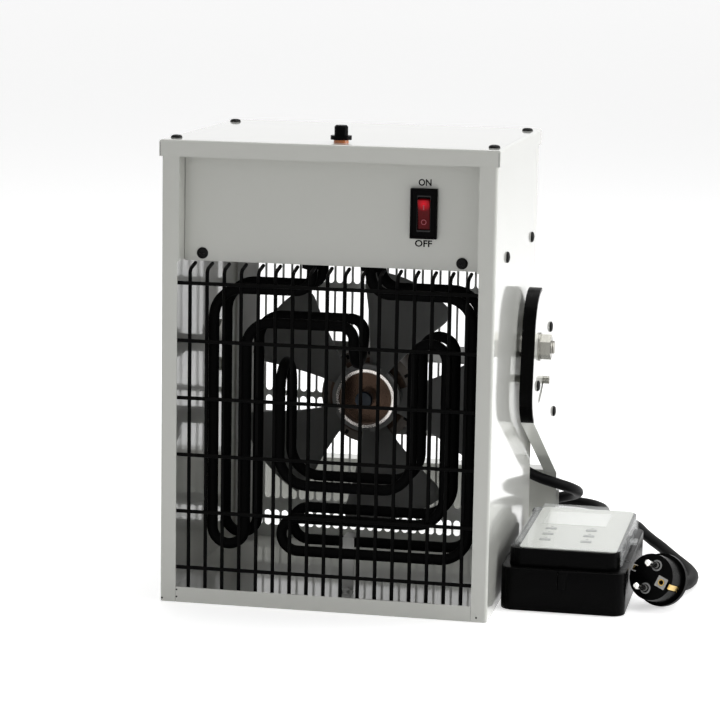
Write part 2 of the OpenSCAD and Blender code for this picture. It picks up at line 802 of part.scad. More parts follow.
module fascia_screws() {
    color([0.04, 0.04, 0.04])
        both()
            translate([fascia_screw_x, fascia_in, shelf_z + 5])
                rotate([90, 0, 0]) {
                    screw_up([0, 0, 0], head_d);
                    translate([0, 0, -8])
                        cylinder(h = 8, d = screw_d);
                }
}

module shelf_screws() {
    color([0.04, 0.04, 0.04])
        both()
            for (y = shelf_screw_y)
                translate([body_w / 2, y, shelf_z + 6])
                    rotate([0, 90, 0]) {
                        screw_up([0, 0, 0], head_d);
                        translate([0, 0, -8])
                            cylinder(h = 8, d = screw_d);
                    }
}

// Stand hardware on the housing, drawn for the right side
module pivot_bolts() {
    color([0.6, 0.6, 0.58])
        both() {
            rod_x([in_x - 7, pivot_y, pivot_z], 7, nut_af / cos(30), 6);
            rod_x([in_x, pivot_y, pivot_z], arm_gap + arm_w + sheet_t + nut_l + 4, pivot_d);
        }
}

module pivot_spacers() {
    color([0.62, 0.62, 0.6])
        both()
            difference() {
                union() {
                    rod_x([body_w / 2, pivot_y, pivot_z], arm_gap + arm_w - arm_t - 0.1, pivot_d + 8);
                    rod_x([arm_x + arm_w + 0.1, pivot_y, pivot_z], 1.4, pivot_d + 12);
                }
                rod_x([body_w / 2 - 1, pivot_y, pivot_z], 30, pivot_d + 2 * gap);
            }
}

module pivot_nuts() {
    color([0.66, 0.66, 0.64])
        both()
            difference() {
                rod_x([arm_x + arm_w + 1.5, pivot_y, pivot_z], nut_l, nut_af / cos(30), 6);
                rod_x([arm_x, pivot_y, pivot_z], 30, pivot_d + 2 * fit);
            }
}

module guide_studs() {
    color([0.4, 0.4, 0.39])
        both()
            translate([0, pivot_y, pivot_z])
                rotate([guide_a, 0, 0]) {
                    rod_x([in_x - 4, guide_r, 0], 4, guide_d + 5);
                    rod_x([in_x, guide_r, 0], arm_gap + arm_w + sheet_t + 5, guide_d);
                    rod_x([body_w / 2, guide_r, 0], 2, guide_d + 5);
                }
}

module strain_relief() {
    color([0.03, 0.03, 0.03])
        translate([exit_x, body_d - sheet_t, exit_z])
            rotate([-90, 0, 0]) {
                cylinder(h = 2, d = 15);
                translate([0, 0, 2])
                    cylinder(h = relief_l, d1 = 13, d2 = cord_d + 1.6);
                translate([0, 0, -4])
                    cylinder(h = 4, d = cord_d);
            }
}

module cord_run_a() {
    color([0.06, 0.06, 0.06])
        swept(run_a, cr, 8);
}

module cord_coil() {
    color([0.06, 0.06, 0.06])
        swept(coil_path, cr, 6);
}

module cord_run_b() {
    color([0.06, 0.06, 0.06])
        swept(run_b, cr, 8);
}

module cord_run_c() {
    color([0.06, 0.06, 0.06])
        swept(run_c, cr, 8);
}

module box_base() {
    color([0.03, 0.03, 0.03])
        union() {
            linear_extrude(height = box_seam)
                round_rect(box_x, box_y, box_w, box_l, box_r);
            box_at([box_x + box_w / 2 - 3.2, box_y - 2, 18], [box_x + box_w / 2 + 3.2, box_y + 1, box_seam]);
        }
}

module box_cover() {
    x0 = box_x + box_step;
    y0 = box_y + box_step;
    w = box_w - 2 * box_step;
    l = box_l - 2 * box_step;
    color([0.03, 0.03, 0.03])
        difference() {
            translate([0, 0, box_seam])
                linear_extrude(height = box_top)
                    round_rect(x0, y0, w, l, box_r);
            box_at([x0 - 5, y0 + 13.6, hinge_z - 2], [hinge_x + 2.4, y0 + l - 13.6, cover_z + 5]);
            rod_y([hinge_x, y0 + 10, hinge_z], l - 20, 2 + 2 * fit);
            for (p = key_places())
                box_at([p[0] - key_w / 2 - gap, p[1] - key_d / 2 - gap, cover_z - 3.4],
                    [p[0] + key_w / 2 + gap, p[1] + key_d / 2 + gap, cover_z + 1]);
        }
}

function key_places() = [for (y = key_y) for (x = key_x) [x, y]];

module box_faceplate() {
    x0 = hinge_x + 4.4;
    x1 = box_x + box_w - box_step - 2.5;
    color([0.9, 0.91, 0.88])
        difference() {
            translate([0, 0, cover_z])
                linear_extrude(height = plate_t)
                    round_rect(x0, box_y + box_step + 3, x1 - x0, box_l - 2 * box_step - 6, 5);
            for (p = key_places())
                box_at([p[0] - key_w / 2 - gap, p[1] - key_d / 2 - gap, cover_z - 1],
                    [p[0] + key_w / 2 + gap, p[1] + key_d / 2 + gap, cover_z + 3]);
        }
}

module key(i) {
    p = key_places()[i];
    color([0.75, 0.76, 0.74])
        box_at([p[0] - key_w / 2, p[1] - key_d / 2, cover_z - 2.4],
            [p[0] + key_w / 2, p[1] + key_d / 2, cover_z + 1.3]);
}

module box_flap() {
    x1 = box_x + box_w - box_step + 0.4;
    y0 = box_y + box_step;
    y1 = box_y + box_l - box_step;
    m = (y0 + y1) / 2 - 8;
    color([0.85, 0.9, 0.95, 0.4])
        difference() {
            union() {
                translate([0, 0, flap_z])
                    linear_extrude(height = flap_t)
                        intersection() {
                            round_rect(hinge_x - 15, y0, x1 + flap_t - hinge_x + 15, y1 - y0, 8);
                            translate([hinge_x - 0.6, 0])
                                square([200, 400]);
                        }
                box_at([x1, y0 + 8, box_seam + 3], [x1 + flap_t, y1 - 8, flap_z + flap_t]);
                box_at([x1, m - 8, box_seam + 8], [x1 + 7, m + 8, box_seam + 8 + 1.6]);
                rod_y([hinge_x, y0 + 14, hinge_z], y1 - y0 - 28, 3.2);
                box_at([hinge_x - 0.6, y0 + 14, hinge_z], [hinge_x + 1.2, y1 - 14, flap_z + 0.2]);
                rod_y([hinge_x, y0 + 11, hinge_z], y1 - y0 - 22, 2);
            }
            for (y = [y0 - 1, y1 - 13.9])
                box_at([hinge_x - 5, y, flap_z - 1], [hinge_x + 4.8, y + 14.9, flap_z + 5]);
        }
}

module box_reliefs() {
    color([0.03, 0.03, 0.03])
        for (x = [lead_a_x, lead_b_x])
            translate([x, box_y + box_l, gland_z])
                rotate([-90, 0, 0])
                    cylinder(h = relief_l, d1 = 14, d2 = cord_d + 1.6);
}

// The plug is drawn with its face towards +Z and its collar at the origin
module plug_place() {
    translate(plug_at)
        rotate(plug_turn)
            rotate([0, 0, plug_roll])
                children();
}

module plug_body() {
    color([0.03, 0.03, 0.03])
        plug_place()
            difference() {
                union() {
                    cylinder(h = 20, d = plug_d);
                    translate([0, 0, -3])
                        cylinder(h = 4, d = 40);
                    translate([0, 0, -18])
                        cylinder(h = 15, d1 = 20, d2 = 32);
                    translate([0, 0, -plug_back])
                        cylinder(h = 12, d1 = cord_d + 1.6, d2 = 16);
                }
                for (s = [-1, 1]) {
                    translate([s * 9.5, 0, 8])
                        cylinder(h = 20, d = pin_d + 2 * gap);
                    box_at([-2.6, s * 15.2 - 1.5 - 0.6, 3], [2.6, s * 15.2 + 1.5 + 0.6, 30]);
                    box_at([-2.6, s * 18.2 - 1.6, 3], [2.6, s * 18.2 + 1.6, 30]);
                }
                translate([0, 9.4, 4])
                    cylinder(h = 20, d = 5);
            }
}

module plug_pins() {
    color([0.8, 0.8, 0.8])
        plug_place()
            for (s = [-1, 1])
                translate([s * 9.5, 0, 8.1]) {
                    cylinder(h = 12 + pin_l - 1.5, d = pin_d);
                    translate([0, 0, 12 + pin_l - 1.5])
                        cylinder(h = 1.5, d1 = pin_d, d2 = pin_d - 2);
                }
}

module plug_clips() {
    color([0.8, 0.65, 0.3])
        plug_place()
            for (s = [-1, 1])
                box_at([-2, s * 16.2 - 0.6, 3.1], [2, s * 16.2 + 0.6, 19.5]);
}

// Stand: plan of the arm in the YZ plane, grown by k, whose straight edges lie a hair inside the circles
module band(a, b, k) {
    polygon(tangent_pts([a[0], a[1], a[2] + k - 0.03], [b[0], b[1], b[2] + k - 0.03]));
}

module arm_plan(k) {
    for (c = [head_c, brow_c, heel_c, rear_c])
        translate([c[0], c[1]])
            circle(r = c[2] + k);
    band(head_c, brow_c, k);
    band(brow_c, heel_c, k);
    band(head_c, rear_c, k);
    band(rear_c, heel_c, k);
    polygon([[head_c[0], head_c[1]], [rear_c[0], rear_c[1]], [heel_c[0], heel_c[1]], [brow_c[0], brow_c[1]]]);
    translate([leg_y[0] - k, foot_h])
        square([leg_y[1] - leg_y[0] + 2 * k, heel_c[1] - foot_h]);
}

// The part of the outline that carries the moulded pad
module pad_zone() {
    a = -118;
    polygon([[head_c[0], head_c[1]], [head_c[0], 260], [60, 260], [60, 60],
        [brow_c[0] + 90 * cos(a), brow_c[1] + 90 * sin(a)], [brow_c[0], brow_c[1]]]);
}

// Turns a drawing in the YZ plane and lays it at x
module upright(x, h) {
    translate([x, 0, 0])
        rotate([90, 0, 90])
            linear_extrude(height = h)
                children();
}

module arm() {
    r0 = arm_x + arm_w - arm_t;
    difference() {
        union() {
            upright(r0, arm_t)
                difference() {
                    arm_plan(0);
                    difference() {
                        pad_zone();
                        arm_plan(-pad_t - 0.1);
                    }
                }
            upright(arm_x, arm_w - arm_t + 0.1)
                difference() {
                    arm_plan(0);
                    arm_plan(-arm_t);
                    pad_zone();
                }
        }
        rod_x([arm_x - 1, pivot_y, pivot_z], 20, pivot_d + 2 * fit);
        upright(arm_x - 1, arm_w + 2)
            guide_slot();
        for (p = arm_screw_at)
            rod_x([r0 - 1, p[0], p[1]], 20, screw_d + 2 * gap);
    }
}

arm_screw_at = [[216, 188], [145, 152], [253, 113]];

// An arc slot round the pivot that lets the stud pass through the whole swing
module guide_slot() {
    a0 = guide_a - stand_swing - 1;
    a1 = guide_a + 1;
    w = guide_d + 2 * gap;
    translate([pivot_y, pivot_z]) {
        intersection() {
            difference() {
                circle(r = guide_r + w / 2);
                circle(r = guide_r - w / 2);
            }
            polygon([[0, 0], [90 * cos(a0), 90 * sin(a0)], [110 * cos((a0 + a1) / 2), 110 * sin((a0 + a1) / 2)],
                [90 * cos(a1), 90 * sin(a1)]]);
        }
        for (a = [a0 + 1, a1 - 1])
            translate([guide_r * cos(a), guide_r * sin(a)])
                circle(d = w - 0.1);
    }
}

module arm_right() {
    color([0.93, 0.94, 0.92])
        arm();
}

module arm_left() {
    color([0.93, 0.94, 0.92])
        mirror([1, 0, 0])
            arm();
}

module arm_pads() {
    color([0.05, 0.05, 0.05])
        both()
            upright(arm_x, arm_w)
                intersection() {
                    difference() {
                        arm_plan(0);
                        arm_plan(-pad_t);
                    }
                    pad_zone();
                }
}

module arm_screws() {
    color([0.05, 0.05, 0.05])
        both()
            for (p = arm_screw_at)
                translate([arm_x + arm_w, p[0], p[1]])
                    rotate([0, 90, 0]) {
                        screw_up([0, 0, 0], head_d);
                        translate([0, 0, -5])
                            cylinder(h = 5, d = screw_d);
                    }
}

// A channel open to the rear between the two legs
module stand_bar() {
    x = arm_x + arm_w - arm_t;
    y0 = leg_y[0] + arm_t + gap;
    y1 = leg_y[1] - arm_t - gap;
    z0 = foot_h + 4;
    color([0.9, 0.91, 0.89])
        difference() {
            box_at([-x, y0, z0], [x, y1, z0 + bar_h]);
            box_at([arm_t - x, y0 + arm_t, z0 + arm_t], [x - arm_t, y1 + 1, z0 + bar_h - arm_t]);
        }
}

module stand_feet() {
    color([0.06, 0.06, 0.06])
        both()
            box_at([arm_x, leg_y[0], 0], [arm_x + arm_w, leg_y[1], foot_h]);
}

place() housing();
place() top_cover();
place() fascia_panel();
place() compartment_shelf();
place() rear_panel();
place() front_guard();
place() motor_bars();
place() side_rails();
place() motor_body();
place() motor_screws();
place() element_left();
place() element_right();
place() element_glands();
place() element_support();
place() thermal_cutout();
place() reset_washer();
place() reset_nut();
place() switch_body();
place() cover_screws();
place() fascia_screws();
place() shelf_screws();
place() pivot_bolts();
place() pivot_spacers();
place() pivot_nuts();
place() guide_studs();
place() strain_relief();
place() cord_run_a();
place() cord_coil();
place() cord_run_b();
place() cord_run_c();
place() box_base();
place() box_cover();
place() box_faceplate();
place() box_reliefs();
place() plug_body();
place() plug_pins();
place() plug_clips();
place() fan_shaft();
place() fan_hub();
place() fan_blades();
place() hub_cap();
place() switch_rocker();
place() reset_button();
place() arm_left();
place() arm_right();
place() stand_bar();
place() arm_pads();
place() arm_screws();
place() stand_feet();
place() box_flap();
place() key(0);  // key_1
place() key(1);  // key_2
place() key(2);  // key_3
place() key(3);  // key_4
place() key(4);  // key_5
place() key(5);  // key_6
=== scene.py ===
"""Industrial fan heater: finishes, leads, fan blades, switch, control box, plug, screws and studio."""

import json
import logging
import math
from contextlib import contextmanager
from dataclasses import dataclass
from enum import Enum
from functools import cache
from typing import Iterator, Sequence

import bmesh
import bpy
from bpy.types import ID, Material, Node, NodeOutputs, NodeSocket, NodeTree, Object
from mathutils import Euler, Matrix, Vector

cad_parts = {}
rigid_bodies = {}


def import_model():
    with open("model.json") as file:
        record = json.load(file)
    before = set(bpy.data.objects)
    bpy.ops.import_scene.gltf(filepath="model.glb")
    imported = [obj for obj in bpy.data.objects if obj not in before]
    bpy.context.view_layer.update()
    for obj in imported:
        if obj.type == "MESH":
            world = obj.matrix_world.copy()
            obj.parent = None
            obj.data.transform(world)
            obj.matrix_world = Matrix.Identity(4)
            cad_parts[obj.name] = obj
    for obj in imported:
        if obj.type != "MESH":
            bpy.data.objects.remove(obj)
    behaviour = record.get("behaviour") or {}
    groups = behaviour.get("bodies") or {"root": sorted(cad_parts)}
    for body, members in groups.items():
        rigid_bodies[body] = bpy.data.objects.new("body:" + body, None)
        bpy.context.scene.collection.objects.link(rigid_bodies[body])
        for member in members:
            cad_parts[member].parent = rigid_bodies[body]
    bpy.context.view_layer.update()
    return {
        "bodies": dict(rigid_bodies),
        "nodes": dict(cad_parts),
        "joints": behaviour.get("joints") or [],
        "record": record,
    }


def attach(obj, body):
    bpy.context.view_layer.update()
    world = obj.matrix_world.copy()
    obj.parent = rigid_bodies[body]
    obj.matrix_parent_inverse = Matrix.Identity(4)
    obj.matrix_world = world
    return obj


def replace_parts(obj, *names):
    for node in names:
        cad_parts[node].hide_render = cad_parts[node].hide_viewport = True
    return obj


LOG = logging.getLogger("heater")

MM = 0.001
HALF_DEPTH = 112.5
SIDES = (-1, 1)

Pair = tuple[float, float]
Point = tuple[float, float, float]
Profile = tuple[Pair, ...]
Value = float | tuple | NodeSocket
Inputs = dict[str | int, Value]


def at(x: float, y: float, z: float) -> Vector:
    """Turn millimetres, with y counted from the front edges back, into metres in the model's frame."""
    return Vector((x * MM, (y - HALF_DEPTH) * MM, z * MM))


def mm(x: float, y: float, z: float) -> Vector:
    """Return a step in millimetres as metres."""
    return Vector((x, y, z)) * MM


def spin(degrees: float, axis: str) -> Matrix:
    """Return a turn about an axis."""
    return Matrix.Rotation(math.radians(degrees), 4, axis)


def grey(tone: float) -> Point:
    """Return a colour with no tint."""
    return tone, tone, tone


class Way(Enum):
    """The direction that a face, a round piece or a screw looks."""

    UP = (0.0, 0.0, 1.0)
    FRONT = (0.0, -1.0, 0.0)
    RIGHT = (1.0, 0.0, 0.0)
    LEFT = (-1.0, 0.0, 0.0)

    def lay(self, place: Vector) -> Matrix:
        """Return the move that lays an upright piece at a place, looking this way."""
        turn = Vector(Way.UP.value).rotation_difference(Vector(self.value))
        return Matrix.Translation(place) @ turn.to_matrix().to_4x4()


# The modelling moves that every new piece is made with.
DOUBLES = 0.000004
FLAT_ANGLE = 0.6
FACING = 0.99


def take(*pieces: Object) -> None:
    """Select these pieces alone, with the first one active.

    Args:
        pieces: The pieces to select.
    """
    bpy.ops.object.select_all(action="DESELECT")
    for piece in pieces:
        piece.select_set(True)
    bpy.context.view_layer.objects.active = pieces[0]


@contextmanager
def edit(piece: Object) -> Iterator[None]:
    """Hold a piece in edit mode, with everything selected at first.

    Args:
        piece: The piece.
    """
    take(piece)
    bpy.ops.object.mode_set(mode="EDIT")
    bpy.ops.mesh.select_all(action="SELECT")
    yield
    bpy.ops.object.mode_set(mode="OBJECT")


def link(name: str, data: ID) -> Object:
    """Put an object into the scene.

    Args:
        name: The object's name.
        data: Its mesh, curve, lamp or camera.

    Returns:
        The object, at the origin.
    """
    piece = bpy.data.objects.new(name, data)
    bpy.context.scene.collection.objects.link(piece)
    return piece


def seat(name: str) -> Object:
    """Put the place of the piece just added into its mesh and name it.

    Args:
        name: Its name.

    Returns:
        The piece, at the origin.
    """
    piece = bpy.context.object
    bpy.ops.object.transform_apply(location=True, rotation=True, scale=True)
    piece.name = piece.data.name = name
    return piece


def block(name: str, low: Vector, high: Vector) -> Object:
    """Add a box between two corners.

    Args:
        name: The piece's name.
        low: Its lowest corner.
        high: Its highest corner.

    Returns:
        The box.
    """
    bpy.ops.mesh.primitive_cube_add(size=1, location=(low + high) / 2)
    bpy.context.object.scale = high - low
    return seat(name)


def drum(name: str, radius: float, height: float, sides: int) -> Object:
    """Add a closed cylinder that stands on the origin.

    Args:
        name: The piece's name.
        radius: Its radius in millimetres.
        height: Its height in millimetres.
        sides: How many sides it has.

    Returns:
        The cylinder.
    """
    bpy.ops.mesh.primitive_cylinder_add(
        vertices=sides, radius=radius * MM, depth=height * MM, location=(0, 0, height * MM / 2)
    )
    return seat(name)


def lathe(name: str, profile: Sequence[Pair], steps: int = 48) -> Object:
    """Spin a profile round the Z axis.

    Args:
        name: The piece's name.
        profile: Radius and height pairs in millimetres, from one end to the other.
        steps: How many steps the spin takes.

    Returns:
        The turned piece, closed where the profile meets the axis or itself.
    """
    mesh = bpy.data.meshes.new(name)
    edges = [(i, i + 1) for i in range(len(profile) - 1)]
    mesh.from_pydata([(r * MM, 0, z * MM) for r, z in profile], edges, [])
    piece = link(name, mesh)
    with edit(piece):
        bpy.ops.mesh.spin(steps=steps, angle=2 * math.pi, center=(0, 0, 0), axis=(0, 0, 1))
        mend()
    return piece


def mend() -> None:
    """Merge the doubles of the piece in edit mode and turn its faces outwards."""
    bpy.ops.mesh.select_all(action="SELECT")
    bpy.ops.mesh.remove_doubles(threshold=DOUBLES)
    bpy.ops.mesh.normals_make_consistent(inside=False)


def pocket(piece: Object, way: Way, rim: float, depth: float) -> None:
    """Inset the face that looks one way and push it in.

    Args:
        piece: The piece.
        way: The direction that the face looks.
        rim: Width of the rim left round it, in millimetres.
        depth: How far it goes in, in millimetres.
    """
    towards = Vector(way.value)
    with edit(piece):
        bpy.ops.mesh.select_mode(type="FACE")
        bpy.ops.mesh.select_all(action="DESELECT")
        for face in bmesh.from_edit_mesh(piece.data).faces:
            face.select_set(face.normal.dot(towards) > FACING)
        bmesh.update_edit_mesh(piece.data)
        bpy.ops.mesh.inset(thickness=rim * MM, depth=0)
        bpy.ops.mesh.extrude_region_move(TRANSFORM_OT_translate={"value": -towards * depth * MM})


def apply(piece: Object, kind: str, **settings: object) -> None:
    """Apply a modifier to a piece.

    Args:
        piece: The piece.
        kind: The modifier's type.
        settings: The modifier's settings.
    """
    take(piece)
    modifier = piece.modifiers.new(kind, kind)
    for name, value in settings.items():
        setattr(modifier, name, value)
    bpy.ops.object.modifier_apply(modifier=modifier.name)


def round_edges(piece: Object, width: float, segments: int = 3, angle: float = 35) -> None:
    """Round the sharp edges.

    Args:
        piece: The piece.
        width: Width of the bevel in millimetres.
        segments: How many steps it has.
        angle: The least angle, in degrees, of an edge that is rounded.
    """
    apply(
        piece, "BEVEL", width=width * MM, segments=segments, limit_method="ANGLE",
        angle_limit=math.radians(angle), use_clamp_overlap=True,
    )


def cut(piece: Object, tool: Object) -> None:
    """Take a tool's space out of a piece and remove the tool."""
    apply(piece, "BOOLEAN", operation="DIFFERENCE", solver="EXACT", object=tool)
    bpy.data.objects.remove(tool)


def join(name: str, pieces: Sequence[Object]) -> Object:
    """Join pieces into one mesh.

    Args:
        name: The joined piece's name.
        pieces: The pieces to join.

    Returns:
        The joined piece.
    """
    take(*pieces)
    bpy.ops.object.join()
    piece = bpy.context.object
    piece.name = piece.data.name = name
    return piece


def copy(piece: Object, name: str, place: Matrix) -> Object:
    """Copy a piece with its own mesh, laid at a place.

    Args:
        piece: The piece to copy.
        name: The copy's name.
        place: The move and turn that lays it in its place.

    Returns:
        The copy, at the origin.
    """
    twin = link(name, piece.data.copy())
    twin.data.transform(place)
    return twin


def smooth(piece: Object, angle: float = 40) -> None:
    """Shade a piece smooth except over edges sharper than an angle in degrees."""
    take(piece)
    bpy.ops.object.shade_smooth_by_angle(angle=math.radians(angle))


def from_node(frame: dict, node: str, width: float) -> Object:
    """Copy a CAD node, merge its loose triangles and round its edges.

    Args:
        frame: What the frame's load returned.
        node: The node's name.
        width: Width of the rounding in millimetres.

    Returns:
        The rounded piece, which stands for the node.
    """
    piece = link(node + "_rounded", frame["nodes"][node].data.copy())
    with edit(piece):
        bpy.ops.mesh.remove_doubles(threshold=DOUBLES)
        bpy.ops.mesh.dissolve_limited(angle_limit=math.radians(FLAT_ANGLE))
    if piece.data.has_custom_normals:
        bpy.ops.mesh.customdata_custom_splitnormals_clear()
    round_edges(piece, width)
    smooth(piece)
    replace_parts(piece, node)
    return piece


@dataclass
class Wiring:
    """Short calls that add shader nodes to one tree."""

    tree: NodeTree

    def feed(self, node: Node, inputs: Inputs) -> Node:
        """Set or link a node's inputs.

        Args:
            node: The node.
            inputs: For an input's name or number, its value or the socket that feeds it.

        Returns:
            The same node.
        """
        for key, value in inputs.items():
            if isinstance(value, NodeSocket):
                self.tree.links.new(value, node.inputs[key])
            else:
                node.inputs[key].default_value = value
        return node

    def add(self, kind: str, inputs: Inputs | None = None, **settings: object) -> Node:
        """Add a node.

        Args:
            kind: The node's type, without the word that every shader node's type starts with.
            inputs: Its inputs, as feed takes them.
            settings: Its other settings, which are made first.

        Returns:
            The node.
        """
        node = self.tree.nodes.new("ShaderNode" + kind)
        for name, value in settings.items():
            setattr(node, name, value)
        return self.feed(node, inputs or {})

    def place(self) -> NodeSocket:
        """Return the place on the object."""
        return self.add("TexCoord").outputs["Object"]

    def noise(self, scale: Value, detail: float) -> NodeSocket:
        """Return a cloudy pattern that is fixed to the object."""
        inputs = {"Vector": self.place(), "Scale": scale, "Detail": detail}
        return self.add("TexNoise", inputs).outputs["Fac"]

    def calc(self, operation: str, *terms: Value) -> NodeSocket:
        """Return what an operation makes of its terms."""
        return self.add("Math", dict(enumerate(terms)), operation=operation).outputs[0]

    def mix(self, share: Value, first: Value, second: Value) -> NodeSocket:
        """Return a colour with this share of the second colour in it."""
        inputs = {"Factor": share, "A": first, "B": second}
        return self.add("Mix", inputs, data_type="RGBA").outputs["Result"]

    def group(self, tree: NodeTree, inputs: Inputs) -> NodeOutputs:
        """Return the outputs of a node group with these inputs."""
        return self.add("Group", inputs, node_tree=tree).outputs


# The node groups that several finishes share.
DUST_TONE = (0.35, 0.34, 0.32, 1)
SPECKS = 160
UPWARD = 0.2


def new_group(name: str, inputs: Sequence[str], outputs: Sequence[str]) -> tuple[Wiring, NodeOutputs, Node]:
    """Make an empty group. Its sockets called Colour are colours, and the others numbers.

    Args:
        name: The group's name.
        inputs: The inputs' names.
        outputs: The outputs' names.

    Returns:
        The group's wiring, the sockets of its input node, and its output node.
    """
    tree = bpy.data.node_groups.new(name, "ShaderNodeTree")
    for side, labels in (("INPUT", inputs), ("OUTPUT", outputs)):
        for label in labels:
            kind = "NodeSocketColor" if label == "Colour" else "NodeSocketFloat"
            tree.interface.new_socket(label, in_out=side, socket_type=kind)
    return Wiring(tree), tree.nodes.new("NodeGroupInput").outputs, tree.nodes.new("NodeGroupOutput")


@cache
def grain_group() -> NodeTree:
    """Draw the fine height of a coated or moulded surface.

    Returns:
        The group, which is made once.
    """
    wiring, given, out = new_group("Surface grain", ("Scale", "Wave", "Wave share"), ("Height",))
    fine = wiring.noise(given["Scale"], detail=3)
    slow = wiring.noise(given["Wave"], detail=1)
    height = wiring.add("Mix", {"Factor": given["Wave share"], "A": fine, "B": slow})
    wiring.feed(out, {"Height": height.outputs["Result"]})
    return wiring.tree


@cache
def drift_group() -> NodeTree:
    """Let a colour and a roughness drift a little over the surface.

    Returns:
        The group, which is made once.
    """
    names = ("Colour", "Amount", "Scale", "Rough", "Rough span")
    wiring, given, out = new_group("Finish drift", names, ("Colour", "Rough"))
    cloud = wiring.calc("SUBTRACT", wiring.noise(given["Scale"], detail=5), 0.5)
    share = wiring.calc("MULTIPLY_ADD", cloud, given["Amount"], 1.0)
    tone = wiring.add("VectorMath", {0: given["Colour"], "Scale": share}, operation="SCALE")
    rough = wiring.calc("MULTIPLY_ADD", cloud, given["Rough span"], given["Rough"])
    wiring.feed(out, {"Colour": tone.outputs[0], "Rough": rough})
    return wiring.tree


@cache
def dust_group() -> NodeTree:
    """Lighten a dark colour a little where dust settles on upward faces.

    Returns:
        The group, which is made once.
    """
    wiring, given, out = new_group("Settled dust", ("Colour", "Dust"), ("Colour",))
    normal = wiring.add("SeparateXYZ", {0: wiring.add("NewGeometry").outputs["Normal"]})
    upward = wiring.add("MapRange", {"Value": normal.outputs["Z"], "From Min": UPWARD})
    specks = wiring.noise(SPECKS, detail=6)
    settled = wiring.calc("MULTIPLY", specks, upward.outputs["Result"])
    share = wiring.calc("MULTIPLY", settled, given["Dust"])
    wiring.feed(out, {"Colour": wiring.mix(share, given["Colour"], DUST_TONE)})
    return wiring.tree


@dataclass(frozen=True)
class Finish:
    """A painted, plated, moulded or rubber surface."""

    name: str
    colour: Point
    rough: float = 0.5
    metal: float = 0.0
    shine: float = 0.5
    coat: float = 0.0
    coat_rough: float = 0.05
    grain: float = 900.0
    wave: float = 30.0
    wave_share: float = 0.3
    relief: float = 0.15
    relief_depth: float = 0.0004
    drift: float = 0.06
    drift_scale: float = 14.0
    rough_span: float = 0.1
    dust: float = 0.0
    alpha: float = 1.0

    @cache
    def material(self) -> Material:
        """Build this finish's material once.

        Returns:
            The material, with its Principled shader in the material itself.
        """
        material = bpy.data.materials.new(self.name)
        material.use_nodes = True
        material.diffuse_color = (*self.colour, self.alpha)
        wiring = Wiring(material.node_tree)
        base = wiring.group(drift_group(), {
            "Colour": (*self.colour, 1), "Amount": self.drift, "Scale": self.drift_scale,
            "Rough": self.rough, "Rough span": self.rough_span,
        })
        colour = base["Colour"]
        if self.dust:
            colour = wiring.group(dust_group(), {"Colour": colour, "Dust": self.dust})["Colour"]
        grain = {"Scale": self.grain, "Wave": self.wave, "Wave share": self.wave_share}
        height = self.shape(wiring, wiring.group(grain_group(), grain)["Height"])
        bump = {"Strength": self.relief, "Distance": self.relief_depth, "Height": height}
        wiring.feed(material.node_tree.nodes["Principled BSDF"], {
            "Base Color": self.tint(wiring, colour),
            "Metallic": self.metal,
            "Roughness": base["Rough"],
            "Specular IOR Level": self.shine,
            "Coat Weight": self.coat,
            "Coat Roughness": self.coat_rough,
            "Alpha": self.alpha,
            "Normal": wiring.add("Bump", bump).outputs["Normal"],
        })
        return material

    def tint(self, wiring: Wiring, colour: NodeSocket) -> NodeSocket:
        """Return the colour as it is; special finishes change it."""
        return colour

    def shape(self, wiring: Wiring, height: NodeSocket) -> NodeSocket:
        """Return the height as it is; special finishes change it."""
        return height


@dataclass(frozen=True)
class LinedFinish(Finish):
    """A finish with fine lines across one axis, such as brushing or a screw thread."""

    axis: str = "X"
    lines: float = 260.0
    depth: float = 1.0
    unevenness: float = 0.2

    def shape(self, wiring: Wiring, height: NodeSocket) -> NodeSocket:
        """Add the lines to the height.

        Args:
            wiring: The wiring of the material.
            height: The grain's height.

        Returns:
            The grain with the lines added.
        """
        inputs = {"Vector": wiring.place(), "Scale": self.lines, "Distortion": self.unevenness}
        wave = wiring.add("TexWave", inputs, bands_direction=self.axis)
        return wiring.calc("MULTIPLY_ADD", wave.outputs["Fac"], self.depth, height)


@dataclass(frozen=True)
class RoundFinish(Finish):
    """A finish whose colour changes with the distance from a line along Y."""

    inner: Point = (0.35, 0.17, 0.08)
    limit: float = 18.5
    blur: float = 1.5
    centre: Pair = (0.0, 133.0)

    def tint(self, wiring: Wiring, colour: NodeSocket) -> NodeSocket:
        """Mix in the inner colour near the line.

        Args:
            wiring: The wiring of the material.
            colour: The outer colour.

        Returns:
            The mixed colour.
        """
        x, z = self.centre
        inputs = {"Vector": wiring.place(), "Location": (-x * MM, 0, -z * MM), "Scale": (1, 0, 1)}
        centred = wiring.add("Mapping", inputs)
        length = wiring.add("VectorMath", {0: centred.outputs["Vector"]}, operation="LENGTH")
        edge = wiring.add("MapRange", {
            "Value": length.outputs["Value"],
            "From Min": (self.limit - self.blur) * MM,
            "From Max": (self.limit + self.blur) * MM,
        })
        return wiring.mix(edge.outputs["Result"], (*self.inner, 1), colour)


